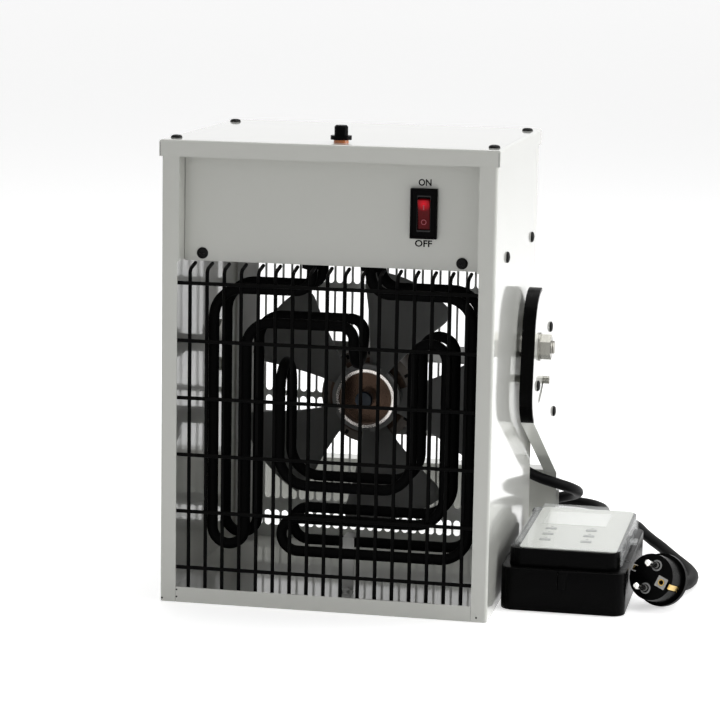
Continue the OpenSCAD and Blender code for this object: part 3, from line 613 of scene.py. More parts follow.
@dataclass(frozen=True)
class DuctShadeFinish(Finish):
    """A white powder coat darkened inside the air duct as painted shade and painted reflection of the dark
    guard and elements; the duct is given by its corners.
    """

    duct: tuple[Point, Point] = ((-122.1, -110.9, 1.7), (122.1, 109.5, 252.0))
    share: float = 0.72
    # Dark colour painted inside the duct as shade and reflection of the dark guard and elements
    inner: Point = (0.05, 0.051, 0.053)

    def tint(self, wiring: Wiring, colour: NodeSocket) -> NodeSocket:
        """Mix in the painted shade colour between the duct's corners.

        Args:
            wiring: The wiring of the material.
            colour: The outer colour.

        Returns:
            The mixed colour.
        """
        place = wiring.add("SeparateXYZ", {0: wiring.place()}).outputs
        # Painted shade: the box's inside gets the dark colour
        share = self.share
        for axis, low, high in zip("XYZ", *self.duct):
            inside = wiring.calc("COMPARE", place[axis], (low + high) / 2 * MM, (high - low) / 2 * MM)
            share = wiring.calc("MULTIPLY", inside, share)
        return wiring.mix(share, colour, (*self.inner, 1))


WHITE_POWDER = {
    "colour": (0.575, 0.58, 0.54), "rough": 0.34, "coat": 1, "coat_rough": 0.06, "wave": 160,
    "relief": 0.07, "drift": 0.02,
}


class Paint(Enum):
    """Every finish on the heater."""

    WHITE = Finish("white powder coat", **WHITE_POWDER)
    # Darker inside the air duct: painted shade and reflection
    SHELL = DuctShadeFinish("white shell with painted duct shade", **WHITE_POWDER)
    INNER = Finish(
        "white inner coat", (0.58, 0.59, 0.57), 0.22, coat=1, coat_rough=0.04, wave=120, relief=0.06,
        drift=0.03,
    )
    ZINC = LinedFinish(
        "zinc plated sheet", (0.42, 0.42, 0.41), 0.38, 0.85, grain=220, drift=0.25, drift_scale=60,
        lines=500, depth=0.2,
    )
    PLATED = Finish("plated steel", (0.27, 0.265, 0.24), 0.26, 1.0, grain=700, drift=0.12, drift_scale=90)
    THREAD = LinedFinish(
        "threaded steel", (0.36, 0.35, 0.32), 0.3, 1.0, grain=700, relief=0.8, lines=208, depth=3.0,
    )
    WIRE = Finish("black coated wire", grey(0.0012), 0.42, shine=0.03, grain=1200, relief=0.08, dust=0.03)
    ELEMENT = Finish(
        "element sheath", (0.001, 0.001, 0.0011), 0.6, shine=0.04, grain=1500, relief=0.25, drift=0.6,
        drift_scale=45, dust=0.03,
    )
    SCREW = Finish("black oxide", grey(0.003), 0.35, shine=0.1, grain=1500, relief=0.06, drift=0.2)
    BLADE = Finish(
        "dull blade sheet", (0.14, 0.142, 0.138), 0.34, shine=0.35, coat=0.1, coat_rough=0.3, grain=500,
        wave=60, relief=0.12, drift=0.5, drift_scale=24, dust=0.03,
    )
    HUB = RoundFinish(
        "polished hub", (0.8, 0.76, 0.72), 0.14, 0.95, relief=0.05, drift=0.2, inner=(0.048, 0.03, 0.021),
        limit=21.2, blur=0.5,
    )
    CAP = Finish("dark blue cap", (0.006, 0.018, 0.034), 0.2, shine=0.2, coat=0.06, relief=0.05, dust=0.05)
    MOTOR = RoundFinish(
        "motor housing", (0.075, 0.062, 0.05), 0.42, 0.3, grain=260, relief=0.3, drift=0.5,
        inner=(0.13, 0.085, 0.055), limit=26, blur=6,
    )
    COPPER = LinedFinish("winding", (0.07, 0.042, 0.027), 0.34, 0.6, relief=0.4, lines=900, depth=1.5)
    MOULD = Finish(
        "black moulding", (0.0012, 0.0012, 0.0013), 0.26, shine=0.03, grain=1400, relief=0.12, drift=0.25,
        dust=0.01,
    )
    PAD = Finish("satin pad", grey(0.001), 0.24, shine=0.03, grain=700, relief=0.08, drift=0.2)
    # The bright red spot on the upper half of the rocker is a painted highlight
    RED = RoundFinish(
        "red lens with painted highlight", (0.11, 0.001, 0.003), 0.3, shine=0.1, coat=0.04, grain=300, relief=0.04, drift=0.3,
        drift_scale=60, inner=(0.95, 0.012, 0.03), limit=2.9, blur=2.9, centre=(68.2, 303.6),
    )
    SMOKE = Finish("smoked surround", grey(0.02), 0.2, shine=0.2, grain=500, relief=0.03)
    MARK = Finish("dark print", grey(0.006), 0.5, shine=0.05, grain=1500, relief=0.02)
    PALE_MARK = Finish("pale mark", (0.4, 0.07, 0.09), 0.4, relief=0.02)
    ORANGE = Finish("orange washer", (0.72, 0.19, 0.025), 0.3, coat=0.3, relief=0.05)
    CLEAR = Finish(
        "clear flap", (0.93, 0.95, 0.95), 0.04, grain=90, relief=0.02, drift=0.01, rough_span=0.02,
        alpha=0.18,
    )
    PLATE = Finish("pale faceplate", (0.68, 0.69, 0.65), 0.3, grain=1200, relief=0.05, drift=0.02)
    SCREEN = Finish("display window", (0.86, 0.87, 0.83), 0.1, coat=0.6, grain=300, relief=0.02)
    KEY = Finish("grey key", (0.34, 0.35, 0.34), 0.5, relief=0.12)
    RUBBER = Finish(
        "black rubber", (0.0018, 0.0018, 0.002), 0.5, shine=0.05, grain=1600, wave=200, relief=0.2, drift=0.3,
        dust=0.02,
    )
    NICKEL = Finish("nickel pin", (0.72, 0.71, 0.68), 0.16, 1.0, relief=0.04, drift=0.1)
    BRASS = Finish("brass clip", (0.68, 0.47, 0.16), 0.24, 1.0, relief=0.06, drift=0.15)
    EARTH = Finish("pale grey insert", (0.42, 0.41, 0.39), 0.4, relief=0.06)
    # Grey for the printed key marks, the painted shadow lines of the cover seams and the painted highlight on
    # the pin rings
    SOCKET = Finish("grey insert", grey(0.22), 0.45, relief=0.08)

    def coat(self, piece: Object) -> None:
        """Give a piece this finish alone."""
        piece.data.materials.clear()
        piece.data.materials.append(self.value.material())


def dress(piece: Object, paint: Paint, body: str = "heater") -> Object:
    """Give a new piece its finish and its body.

    Args:
        piece: The piece.
        paint: Its finish.
        body: The body that it rides on.

    Returns:
        The same piece.
    """
    paint.coat(piece)
    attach(piece, body)
    LOG.info("%s on %s, %s", piece.name, body, paint.value.name)
    return piece


@dataclass(frozen=True)
class Lamp:
    """A square soft lamp, in metres and watts."""

    name: str
    place: Point
    aim: Point
    size: float
    power: float

    def hang(self) -> None:
        """Put the lamp in its place."""
        data = bpy.data.lights.new(self.name, "AREA")
        data.size = self.size
        data.energy = self.power
        lamp = link(self.name, data)
        lamp.location = self.place
        lamp.rotation_euler = (Vector(self.aim) - Vector(self.place)).to_track_quat("-Z", "Y").to_euler()


@dataclass
class Studio:
    """The camera at the photograph's angle, a pale floor and soft lamps, in metres and degrees."""

    eye: Point = (0.38287, -1.91795, 0.49186)
    turn: Point = (80.67364, -0.97494, 11.34211)
    lens: float = 128.646
    sensor: float = 36
    floor_size: float = 60.0
    floor_level: float = -0.0004
    floor_tone: float = 0.93
    floor_rough: float = 0.55
    white: float = 1.0
    fill: float = 0.235
    glow: float = 0.55
    bounce: float = 0.14
    lamps: tuple[Lamp, ...] = (
        Lamp("side_softbox", (2.1, 0.1, 1.0), (0, 0, 0.2), 1.6, 34),
        Lamp("top_softbox", (0.3, 0.5, 2.2), (0, 0, 0.2), 1.8, 27),
        Lamp("front_fill", (-0.9, -2.2, 1.0), (0, 0, 0.15), 1.6, 3.4),
    )

    def camera(self) -> None:
        """Set up the camera."""
        data = bpy.data.cameras.new("view")
        data.lens = self.lens
        data.sensor_width = self.sensor
        camera = link("view", data)
        camera.location = self.eye
        camera.rotation_euler = Euler([math.radians(angle) for angle in self.turn])
        bpy.context.scene.camera = camera

    def backdrop(self, wiring: Wiring, hidden: float, shown: float) -> NodeSocket:
        """Choose a strength for rays that show the background, and another for those that light the object.

        Args:
            wiring: The wiring of the sky or the floor.
            hidden: The strength for the light that falls on the object.
            shown: The strength for rays that are straight, mirrored or let through.

        Returns:
            The strength.
        """
        path = wiring.add("LightPath").outputs
        straight = wiring.calc("MAXIMUM", path["Is Camera Ray"], path["Is Glossy Ray"])
        seen = wiring.calc("MAXIMUM", straight, path["Is Transmission Ray"])
        return wiring.add("MapRange", {"Value": seen, "To Min": hidden, "To Max": shown}).outputs["Result"]

    def world(self) -> None:
        """Light everything with a plain sky that looks white."""
        world = bpy.data.worlds.new("studio")
        world.use_nodes = True
        wiring = Wiring(world.node_tree)
        strength = self.backdrop(wiring, self.fill, self.white)
        wiring.feed(world.node_tree.nodes["Background"], {"Color": (1, 1, 1, 1), "Strength": strength})
        bpy.context.scene.world = world

    def floor(self) -> None:
        """Lay the pale floor."""
        bpy.ops.mesh.primitive_plane_add(size=self.floor_size, location=(0, 0, self.floor_level))
        floor = seat("studio_floor")
        material = bpy.data.materials.new("pale floor")
        material.use_nodes = True
        wiring = Wiring(material.node_tree)
        wiring.feed(material.node_tree.nodes["Principled BSDF"], {
            "Base Color": (*grey(self.floor_tone), 1),
            "Roughness": self.floor_rough,
            "Emission Color": (1, 1, 1, 1),
            "Emission Strength": self.backdrop(wiring, self.bounce, self.glow),
        })
        floor.data.materials.append(material)

    def build(self) -> None:
        """Set the whole stage."""
        self.camera()
        self.world()
        self.floor()
        for lamp in self.lamps:
            lamp.hang()
        bpy.context.scene.view_settings.view_transform = "Standard"


@dataclass
class Leads:
    """The two rubber leads, close to the solids' routes, in millimetres behind the front edges."""

    diameter: float = 9.0
    facets: int = 5
    parts: int = 5
    coil_centre: Point = (15, 393, 4.8)
    coil_radius: float = 51
    coil_step: float = 10
    coil_turns: float = 1.5
    coil_rise: float = 9.6
    coil_points: int = 24
    coil_start: float = -90
    climb_turns: float = 0.5
    tie_inset: float = 2.5
    tie_width: float = 10
    tie_wall: float = 0.25
    tie_lift: float = 0.05
    to_coil: tuple[Point, ...] = (
        (107.5, 245.8, 68), (107.5, 255, 68), (110.5, 262, 64), (116, 269, 58), (126, 275.4, 52),
        (138.6, 281.6, 47), (148.2, 291.5, 42), (152.6, 306, 36.5), (152.4, 321, 31.5), (147.5, 334, 27),
        (137.5, 343, 22.5), (122, 347.5, 18.5), (103, 348, 14.5), (83, 346.5, 10), (62, 344.2, 6.4),
        (43, 342.4, 4.9), (33, 342, 4.8), (24, 342, 4.8),
    )
    to_box: tuple[Point, ...] = (
        (24, 444, 14.4), (33, 444, 14.4), (48, 441, 12.6), (63, 434, 9), (78, 424, 6), (92, 415, 4.9),
        (106, 409, 4.8), (120, 407.7, 4.8), (134, 406.6, 4.8), (147.8, 403.8, 4.8), (159.5, 396.4, 4.8),
        (167.4, 384.9, 4.8), (171, 371, 4.8), (173.6, 355, 4.8), (176, 337, 4.8), (178, 316, 4.8),
        (179, 294, 4.8), (180, 274, 5), (180, 258, 8), (180, 244, 12.6), (180, 232, 15.6),
        (180, 224, 16), (180, 219, 16),
    )
    to_plug: tuple[Point, ...] = (
        (142, 219, 16), (142, 229, 16), (142, 246, 16), (142, 262, 16.5), (146.8, 280, 16.5),
        (160, 293.2, 16.5), (178, 298, 16.5), (194, 293.5, 16), (206, 281, 15), (214, 264, 13.2),
        (222, 250, 11), (230, 238, 9), (237.5, 225, 7), (245, 211, 5.4), (251.5, 197, 4.8),
        (257, 182, 4.8), (261, 166, 4.8), (261.7, 150, 4.9), (259.8, 135, 5.6), (255.7, 120.5, 7.3),
        (252.7, 112.2, 10.1),
    )

    def coil(self) -> list[Vector]:
        """Wind inwards on the lower layer, up, and outwards on the upper one.

        Returns:
            The coil's points.
        """
        x, y, z = self.coil_centre
        points = []
        for k in range(int(self.coil_turns * self.coil_points) + 1):
            t = k / self.coil_points
            radius = self.coil_radius - self.coil_step * min(t, self.coil_turns - t)
            climb = (t - self.coil_turns / 2 + self.climb_turns / 2) / self.climb_turns
            rise = self.coil_rise * max(0.0, min(1.0, climb))
            angle = math.radians(self.coil_start - 360 * t)
            points.append(at(x + radius * math.cos(angle), y + radius * math.sin(angle), z + rise))
        return points

    def flow(self, points: Sequence[Vector]) -> list[Vector]:
        """Round a route off with a smooth curve through its points.

        Args:
            points: The route's points.

        Returns:
            The denser route.
        """
        line = []
        for i in range(len(points) - 1):
            p1, p2 = points[i], points[i + 1]
            p0 = points[i - 1] if i else p1 * 2 - p2
            p3 = points[i + 2] if i + 2 < len(points) else p2 * 2 - p1
            before, span, after = (p1 - p0).length, (p2 - p1).length, (p3 - p2).length
            m1 = (p2 - p0) * (span / (span + before))
            m2 = (p3 - p1) * (span / (span + after))
            for k in range(self.parts):
                t = k / self.parts
                line.append(
                    p1 * (2 * t**3 - 3 * t**2 + 1) + m1 * (t**3 - 2 * t**2 + t)
                    + p2 * (3 * t**2 - 2 * t**3) + m2 * (t**3 - t**2)
                )
        line.append(points[-1])
        return line

    def tube(self, name: str, line: Sequence[Vector]) -> Object:
        """Make a round curve along a route.

        Args:
            name: The lead's name.
            line: The route's points.

        Returns:
            The curve.
        """
        data = bpy.data.curves.new(name, "CURVE")
        data.dimensions = "3D"
        data.bevel_depth = self.diameter / 2 * MM
        data.bevel_resolution = self.facets
        data.use_fill_caps = True
        spline = data.splines.new("POLY")
        spline.points.add(len(line) - 1)
        for point, place in zip(spline.points, line):
            point.co = (*place, 1)
        return link(name, data)

    def tie(self) -> Object:
        """Make the thin strap that holds the coil's two layers.

        Returns:
            The strap.
        """
        x, y, z = self.coil_centre
        x -= self.coil_radius - self.tie_inset
        reach = self.diameter / 2 + self.tie_wall
        low = at(x - reach, y - self.tie_width / 2, self.tie_lift)
        high = at(x + reach, y + self.tie_width / 2, z + self.coil_rise + reach)
        strap = block("coil_tie", low, high)
        wall = mm(self.tie_wall, -self.tie_width, self.tie_wall)
        cut(strap, block("tie_hollow", low + wall, high - wall))
        return strap

    def build(self, on_supply: list, on_plug: list) -> None:
        """Make both leads.

        Args:
            on_supply: The control box's pieces and nodes. Not used.
            on_plug: The plug's pieces and nodes. Not used.
        """
        line = self.flow([at(*p) for p in self.to_coil] + self.coil() + [at(*p) for p in self.to_box])
        supply = dress(self.tube("supply_lead", line), Paint.RUBBER)
        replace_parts(supply, "cord_run_a", "cord_coil", "cord_run_b")
        strap = dress(self.tie(), Paint.RUBBER)
        line = self.flow([at(*p) for p in self.to_plug])
        plug = dress(self.tube("plug_lead", line), Paint.RUBBER)
        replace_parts(plug, "cord_run_c")


@dataclass(frozen=True)
class ScrewRow:
    """Screws of one kind, alike on both sides. Without a way they look outwards."""

    kind: str
    across: float
    places: tuple[Pair, ...]
    way: Way | None = None
    body: str = "heater"


@dataclass
class Screws:
    """Domed screws with a cross recess."""

    head: float = 8.5
    height: float = 2.2
    dome: Profile = ((0, 1), (0.3, 0.985), (0.55, 0.93), (0.78, 0.78), (0.92, 0.55), (1, 0.25), (1, 0))
    shank: float = 4.0
    shank_length: float = 4.0
    slot: Pair = (0.9, 4.2)
    slot_depth: float = 1.1
    first_turn: float = 20
    next_turn: float = 37
    rows: tuple[ScrewRow, ...] = (
        ScrewRow("cover", 117.6, ((19, 345), (196, 345)), Way.UP),
        ScrewRow("fascia", 96.6, ((16, 261),), Way.FRONT),
        ScrewRow("shelf", 123.5, ((56.5, 262), (192.7, 262))),
        ScrewRow("arm", 137.5, ((216, 188), (145, 152), (253, 113)), body="stand"),
    )

    def model(self) -> Object:
        """Make one screw that faces up from the origin.

        Returns:
            The screw.
        """
        profile = [(r * self.head / 2, z * self.height) for r, z in self.dome]
        neck = self.shank / 2
        profile += [(neck, 0), (neck, -self.shank_length), (0, -self.shank_length)]
        screw = lathe("screw_model", profile, steps=32)
        for x, y in (self.slot, self.slot[::-1]):
            low = mm(-x / 2, -y / 2, self.height - self.slot_depth)
            cut(screw, block("slot", low, mm(x / 2, y / 2, self.height + 1)))
        smooth(screw, angle=30)
        return screw

    def build(self) -> None:
        """Copy the screw to all its places."""
        model = self.model()
        leaders: dict[str, Object] = {}
        count = 0
        for side in SIDES:
            outwards = Way.RIGHT if side > 0 else Way.LEFT
            for row in self.rows:
                for y, z in row.places:
                    place = (row.way or outwards).lay(at(side * row.across, y, z))
                    turn = spin(self.first_turn + self.next_turn * count, "Z")
                    screw = copy(model, f"{row.kind}_screw_{count}", place @ turn)
                    leaders.setdefault(row.kind, screw)
                    dress(screw, Paint.SCREW, row.body)
                    count += 1
        for kind, screw in leaders.items():
            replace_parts(screw, f"{kind}_screws")
        bpy.data.objects.remove(model)


@dataclass
class Housing:
    """The sheet metal box: lettering at the switch, pressed dots and the cover's seams."""

    type_size: float = 7.392
    type_height: float = 0.9
    type_weight: float = 0.2
    type_thickness: float = 0.02
    type_steps: int = 3
    on_at: Point = (68.4, 15.97, 318.4)
    on_width: float = 0.84
    off_at: Point = (68.0, 15.97, 274.2)
    off_width: float = 0.98
    dot: Profile = ((0, 0.16), (0.5, 0.12), (0.75, 0), (0, 0))
    dot_front: float = 0.02
    dots: tuple[Pair, ...] = ((-110.6, 9.4), (-110.6, 4.0), (115.6, 3.2), (-121.8, 2.4))
    seam_x: float = 124.0
    seam_width: float = 0.36
    seam_faces: tuple[float, ...] = (-1.56, 226.46)
    seam_depth: float = 0.1
    seam_heights: Pair = (333.2, 343.0)

    def word(self, text: str, place: Point, width: float) -> None:
        """Print a word on the fascia.

        Args:
            text: The word.
            place: The middle of it, in millimetres behind the front edges.
            width: How wide the letters are drawn, against the typeface's own width.
        """
        bpy.ops.object.text_add(location=at(*place), rotation=(math.radians(90), 0, 0))
        label = bpy.context.object
        label.scale = (width, self.type_height, 1)
        label.data.body = text
        label.data.size = self.type_size * MM
        label.data.align_x = "CENTER"
        label.data.align_y = "CENTER"
        label.data.extrude = self.type_thickness * MM
        label.data.offset = self.type_weight * MM
        label.data.resolution_u = self.type_steps
        bpy.ops.object.convert(target="MESH")
        dress(seat(f"word_{text.lower()}"), Paint.MARK)

    def pin_marks(self) -> None:
        """Add the little pressed dots on the front edges."""
        dots = []
        for x, z in self.dots:
            dot = lathe("dot", self.dot, steps=16)
            dot.data.transform(Way.FRONT.lay(at(x, self.dot_front, z)))
            dots.append(dot)
        dress(join("pin_marks", dots), Paint.SCREW)

    def seams(self) -> None:
        """Add the shadow lines where the cover's corner flanges meet, as fine sunk strips."""
        strips = []
        half = self.seam_width / 2
        low, high = self.seam_heights
        for x in (-self.seam_x, self.seam_x):
            for y in self.seam_faces:
                far = at(x + half, y + self.seam_depth, high)
                strips.append(block("seam", at(x - half, y, low), far))
        dress(join("cover_seams", strips), Paint.SOCKET)

    def build(self) -> None:
        """Add everything that the housing's solids lack."""
        self.word("ON", self.on_at, self.on_width)
        self.word("OFF", self.off_at, self.off_width)
        self.pin_marks()
        self.seams()


@dataclass
class RockerSwitch:
    """The lit rocker switch in its black bezel. The rocker is drawn round its own axis."""

    x: float = 68.2
    z: float = 296.3
    bezel: Pair = (19.8, 36.5)
    bezel_depths: Pair = (12.0, 15.98)
    bezel_rim: float = 1.6
    bezel_sink: float = 1.0
    window: Pair = (10.0, 26.4)
    window_back: float = 15.4
    surround_gap: float = 0.02
    surround_depths: Pair = (13.3, 15.3)
    rocker: Pair = (8.8, 22.0)
    rocker_room: Pair = (0.25, 1.0)
    rocker_back: float = 1.5
    dish_middle: float = 3.4
    dish_rise: float = 1.2
    dish_bend: float = 1.6
    dish_cuts: tuple[float, ...] = (-0.6, -0.3, 0.0, 0.3, 0.6)
    pivot_y: float = 17.5
    tilt: float = 10.0
    bar: tuple[Point, Point] = ((-0.35, -4.16, 3.6), (0.35, -3.7, 7.2))
    ring: Profile = ((1.5, 0), (1.5, 0.5), (1.95, 0.5), (1.95, 0), (1.5, 0))
    ring_at: Point = (0, -3.72, -5.6)

    def slab(self, name: str, size: Pair, front: float, back: float) -> Object:
        """Add a box of this width and height on the switch's middle, from one depth to another."""
        w, h = size[0] / 2, size[1] / 2
        return block(name, at(self.x - w, front, self.z - h), at(self.x + w, back, self.z + h))

    def bezel_frame(self) -> Object:
        """Make the black frame with its sunk window.

        Returns:
            The frame.
        """
        frame = self.slab("switch_bezel", self.bezel, *self.bezel_depths)
        pocket(frame, Way.FRONT, self.bezel_rim, self.bezel_sink)
        cut(frame, self.slab("window", self.window, 0, self.window_back))
        round_edges(frame, width=0.6)
        smooth(frame)
        return frame

    def surround(self) -> Object:
        """Make the thin smoked frame inside the window.

        Returns:
            The frame.
        """
        outer = tuple(side - 2 * self.surround_gap for side in self.window)
        inner = tuple(side + 2 * room for side, room in zip(self.rocker, self.rocker_room))
        ring = self.slab("switch_surround", outer, *self.surround_depths)
        cut(ring, self.slab("hole", inner, 0, 2 * self.window_back))
        round_edges(ring, width=0.25, segments=2)
        return ring

    def place(self) -> Matrix:
        """Return the move that lays the rocker in its place."""
        return Matrix.Translation(at(self.x, self.pivot_y, self.z)) @ spin(self.tilt, "X")

    def lens(self) -> Object:
        """Make the red rocker with its dished halves.

        Returns:
            The rocker, round its own axis.
        """
        w, h = self.rocker[0] / 2, self.rocker[1] / 2
        front = -self.dish_middle - self.dish_rise
        lens = block("rocker_lens", mm(-w, front, -h), mm(w, self.rocker_back, h))
        with edit(lens):
            for level in self.dish_cuts:
                bpy.ops.mesh.select_all(action="SELECT")
                bpy.ops.mesh.bisect(plane_co=(0, 0, level * h * MM), plane_no=(0, 0, 1))
        for vertex in lens.data.vertices:
            if vertex.co.y < 0:
                share = abs(vertex.co.z) / (h * MM)
                vertex.co.y = (-self.dish_middle - self.dish_rise * share**self.dish_bend) * MM
        round_edges(lens, width=0.5, angle=30)
        smooth(lens, angle=50)
        return lens

    def marks(self) -> list[Object]:
        """Make the bar and the ring on the rocker's halves.

        Returns:
            The two marks, round the rocker's own axis.
        """
        bar = block("rocker_bar", *(mm(*corner) for corner in self.bar))
        ring = lathe("rocker_ring", self.ring, steps=32)
        ring.data.transform(Way.FRONT.lay(mm(*self.ring_at)))
        return [bar, ring]

    def build(self) -> None:
        """Make the switch."""
        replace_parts(dress(self.bezel_frame(), Paint.MOULD), "switch_body")
        dress(self.surround(), Paint.SMOKE)
        lens = self.lens()
        lens.data.transform(self.place())
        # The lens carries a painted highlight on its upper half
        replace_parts(dress(lens, Paint.RED, "rocker"), "switch_rocker")
        for mark in self.marks():
            mark.data.transform(self.place())
            dress(mark, Paint.PALE_MARK, "rocker")


@dataclass
class FanUnit:
    """The pitched blades, their ring, and the motor's face behind them."""

    axis_z: float = 133.0
    hub_y: float = 155.0
    hub_d: float = 46.8
    tip_d: float = 200.0
    root_gap: float = 1.5
    count: int = 5
    arc: float = 50.0
    root_arc: float = 0.72
    pitch: float = 24.0
    root_pitch: float = 0.45
    set_back: float = 5.0
    camber: float = 5.0
    corner_from: float = 0.82
    corner_cut: float = 0.14
    mesh: tuple[int, int] = (16, 14)
    thickness: float = 1.5
    skin: float = 0.1
    first: float = 21.0
    band: Profile = ((0.1, 0), (0.1, 5), (3.6, 5), (4, 4.6), (4, 0.4), (3.6, 0), (0.1, 0))
    band_y: float = 163.0
    motor_y: float = 170.0
    winding: Profile = ((21, 0.02), (21, 1.6), (23, 2.4), (29, 2.4), (31, 1.6), (31, 0.02), (21, 0.02))
    # The vent slots are drawn as thin black patches: painted shade, not openings
    vents: int = 12
    vent: tuple[Point, Point] = ((-1.2, -0.2, 33), (1.2, 0.0, 36.5))
    vent_lift: float = 0.02

    def point(self, u: float, v: float) -> Vector:
        """Return a point on a blade's front.

        Args:
            u: Share of the way from the hub to the tip.
            v: Share of the way across, from -0.5 to 0.5.

        Returns:
            The point, round the fan's own axis.
        """
        root, tip = self.hub_d / 2 + self.root_gap, self.tip_d / 2
        r = root + u * (tip - root)
        a = math.radians(90 + self.arc * v * (self.root_arc + (1 - self.root_arc) * u))
        slope = self.pitch * (self.root_pitch + (1 - self.root_pitch) * u)
        y = self.hub_y + self.set_back + slope * v + self.camber * u * (0.25 - v * v)
        return mm(r * math.cos(a), y - HALF_DEPTH, r * math.sin(a))

    def blade(self) -> Object:
        """Make one blade with rounded tip corners.

        Returns:
            The blade, round the fan's own axis.
        """
        columns, rows = self.mesh
        bpy.ops.mesh.primitive_grid_add(x_subdivisions=columns, y_subdivisions=rows, size=1)
        sheet = bpy.context.object
        half = Vector((0, self.thickness / 2 * MM, 0))
        for vertex in sheet.data.vertices:
            u, v = vertex.co.x + 0.5, vertex.co.y
            corner = max(0.0, (u - self.corner_from) / (1 - self.corner_from))
            vertex.co = self.point(u, v * (1 - self.corner_cut * corner**2)) + half
        seat("blade_model")
        apply(sheet, "SOLIDIFY", thickness=(self.thickness - self.skin) * MM, offset=0)
        with edit(sheet):
            mend()
        round_edges(sheet, width=0.3, segments=2, angle=60)
        smooth(sheet, angle=50)
        return sheet

    def blades(self) -> None:
        """Copy the blade round the hub and add the band that carries them."""
        model = self.blade()
        centre = Matrix.Translation(Vector((0, 0, self.axis_z * MM)))
        parts = []
        for k in range(self.count):
            turn = spin(360 / self.count * k + self.first, "Y")
            parts.append(copy(model, f"blade_{k}", centre @ turn))
        bpy.data.objects.remove(model)
        band = lathe("band", [(self.hub_d / 2 + r, z) for r, z in self.band])
        band.data.transform(Way.FRONT.lay(at(0, self.band_y, self.axis_z)))
        smooth(band)
        fan = join("pitched_blades", parts + [band])
        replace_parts(dress(fan, Paint.BLADE, "fan"), "fan_blades")

    def motor_face(self) -> None:
        """Add the winding ring, and thin black patches on the motor's front as painted shade of its vent
        slots.
        """
        ring = lathe("winding_ring", self.winding, steps=64)
        ring.data.transform(Way.FRONT.lay(at(0, self.motor_y, self.axis_z)))
        smooth(ring)
        dress(ring, Paint.COPPER)
        # Painted shade: flat black patches where the vent slots are
        centre = Matrix.Translation(at(0, self.motor_y - self.vent_lift, self.axis_z))
        slots = []
        for k in range(self.vents):
            slot = block(f"vent_{k}", *(mm(*corner) for corner in self.vent))
            slot.data.transform(centre @ spin(360 / self.vents * k, "Y"))
            slots.append(slot)
        dress(join("motor_vent_shade", slots), Paint.MOULD)

    def build(self) -> None:
        """Make the fan's new pieces."""
        self.blades()
        self.motor_face()


@dataclass
class ControlBox:
    """The black box in the lead: display, key marks and rounded halves."""

    edge: float = 1.2
    plate_top: float = 46.8
    lift: float = 0.01
    window_x: Pair = (146.0, 196.0)
    window_y: Pair = (130.0, 176.0)
    glass: float = 0.35
    glass_rim: float = 1.6
    glass_sink: float = 0.15
    glass_edge: float = 0.12
    key_rows: tuple[float, ...] = (115, 96, 77)
    key_columns: tuple[float, ...] = (155, 186)
    mark_behind: float = 7.5
    mark_radius: float = 1.1
    mark_height: float = 0.06

    def display(self) -> Object:
        """Make the display's window, with its frame on the faceplate.

        Returns:
            The window.
        """
        (x0, x1), (y0, y1), z = self.window_x, self.window_y, self.plate_top
        glass = block("box_display", at(x0, y0, z + self.lift), at(x1, y1, z + self.glass))
        pocket(glass, Way.UP, self.glass_rim, self.glass_sink)
        round_edges(glass, self.glass_edge, segments=2)
        return dress(glass, Paint.SCREEN)

    def key_marks(self) -> Object:
        """Make the small round marks, one behind each key.

        Returns:
            The marks.
        """
        marks = []
        for y in self.key_rows:
            for x in self.key_columns:
                dot = drum("mark", self.mark_radius, self.mark_height, sides=20)
                place = at(x, y + self.mark_behind, self.plate_top + self.lift)
                dot.data.transform(Matrix.Translation(place))
                marks.append(dot)
        return dress(join("key_marks", marks), Paint.SOCKET)

    def build(self, frame: dict) -> list[str | Object]:
        """Make the box's new pieces.

        Args:
            frame: What the frame's load returned.

        Returns:
            The pieces and nodes that lie on the first lead. The halves, which reach too far, are left out.
        """
        for node in ("box_base", "box_cover"):
            dress(from_node(frame, node, self.edge), Paint.MOULD)
        nodes = ["box_faceplate", "box_reliefs", "box_flap"] + [f"key_{k}" for k in range(1, 7)]
        return nodes + [self.display(), self.key_marks()]


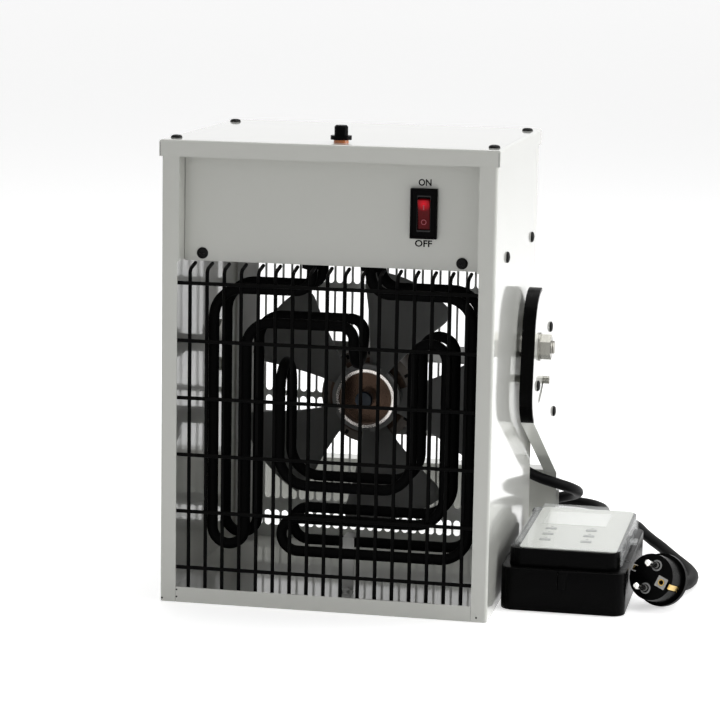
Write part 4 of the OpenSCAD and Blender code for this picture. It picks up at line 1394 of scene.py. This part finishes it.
@dataclass
class MainsPlug:
    """The two pin plug's face: rings round the pins, and the earth socket. It is drawn on the plug's axis."""

    at_point: Point = (242.9, 85.4, 19.4)
    tip: float = 72.0
    swing: float = -110.0
    roll: float = -19.0
    pin_x: float = 9.5
    pin_ring: Profile = ((3.0, 19.6), (3.0, 20.25), (3.9, 20.25), (4.2, 20.0), (4.2, 19.6), (3.0, 19.6))
    earth_y: float = 9.4
    earth_frame: tuple[Point, Point] = ((-4.2, 5.2, 19.6), (4.2, 13.6, 20.5))
    earth_hole: float = 2.7
    earth_tube: Profile = ((1.9, 5), (1.9, 20.2), (2.4, 20.2), (2.4, 5), (1.9, 5))

    def place(self) -> Matrix:
        """Return the move that lays a piece drawn on the plug's axis in its place."""
        turn = spin(self.swing, "Z") @ spin(self.tip, "Y")
        return Matrix.Translation(at(*self.at_point)) @ turn @ spin(self.roll, "Z")

    def rings(self) -> Object:
        """Make the rings round the two pins, coloured grey as a painted highlight.

        Returns:
            The rings, as one piece.
        """
        rings = []
        for side in SIDES:
            ring = lathe("ring", self.pin_ring, steps=32)
            ring.data.transform(Matrix.Translation(mm(side * self.pin_x, 0, 0)))
            rings.append(ring)
        # Painted highlight: the rings are grey where the pins show light rims
        collar = join("pin_ring_highlights", rings)
        collar.data.transform(self.place())
        smooth(collar)
        return dress(collar, Paint.SOCKET)

    def earth(self) -> list[Object]:
        """Make the earth socket.

        Returns:
            Its square frame and its tube.
        """
        centre = Matrix.Translation(mm(0, self.earth_y, 0))
        frame = block("earth_frame", *(mm(*corner) for corner in self.earth_frame))
        hole = drum("hole", self.earth_hole, 2 * self.earth_frame[1][2], sides=24)
        hole.data.transform(centre)
        cut(frame, hole)
        round_edges(frame, width=0.3, segments=2)
        frame.data.transform(self.place())
        tube = lathe("earth_tube", self.earth_tube, steps=24)
        tube.data.transform(self.place() @ centre)
        smooth(tube)
        return [dress(frame, Paint.EARTH), dress(tube, Paint.BRASS)]

    def build(self) -> list[str | Object]:
        """Make the new pieces, and return the pieces and nodes that lie on the second lead."""
        return ["plug_body", "plug_pins", "plug_clips", self.rings(), *self.earth()]


@dataclass
class CadNodes:
    """The solids that stay, each with its finish."""

    paints: tuple[tuple[Paint, str], ...] = (
        (Paint.SHELL, "housing"),
        (Paint.WHITE, "top_cover fascia_panel arm_left arm_right stand_bar"),
        (Paint.INNER, "rear_panel"),
        (Paint.ZINC, "compartment_shelf motor_bars side_rails element_support"),
        (Paint.PLATED, "pivot_spacers pivot_nuts guide_studs fan_shaft"),
        (Paint.THREAD, "pivot_bolts"),
        (Paint.WIRE, "front_guard"),
        (Paint.ELEMENT, "element_left element_right element_glands"),
        (Paint.SCREW, "motor_screws"),
        (Paint.HUB, "fan_hub"),
        (Paint.CAP, "hub_cap"),
        (Paint.MOTOR, "motor_body"),
        (Paint.MOULD, "thermal_cutout reset_nut reset_button strain_relief box_reliefs plug_body"),
        (Paint.PAD, "arm_pads"),
        (Paint.ORANGE, "reset_washer"),
        (Paint.CLEAR, "box_flap"),
        (Paint.PLATE, "box_faceplate"),
        (Paint.KEY, "key_1 key_2 key_3 key_4 key_5 key_6"),
        (Paint.RUBBER, "stand_feet"),
        (Paint.NICKEL, "plug_pins"),
        (Paint.BRASS, "plug_clips"),
    )

    def build(self, frame: dict) -> None:
        """Put each finish on its nodes.

        Args:
            frame: What the frame's load returned.
        """
        for paint, nodes in self.paints:
            for node in nodes.split():
                paint.coat(frame["nodes"][node])
                LOG.info("%s, %s", node, paint.value.name)


def main() -> None:
    """Dress the heater and set the studio."""
    logging.basicConfig(level=logging.INFO, format="%(name)s: %(message)s")
    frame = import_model()
    Studio().build()
    Leads().build(ControlBox().build(frame), MainsPlug().build())
    CadNodes().build(frame)
    Housing().build()
    RockerSwitch().build()
    FanUnit().build()
    Screws().build()
    bpy.context.view_layer.update()


if __name__ == "__main__":
    main()
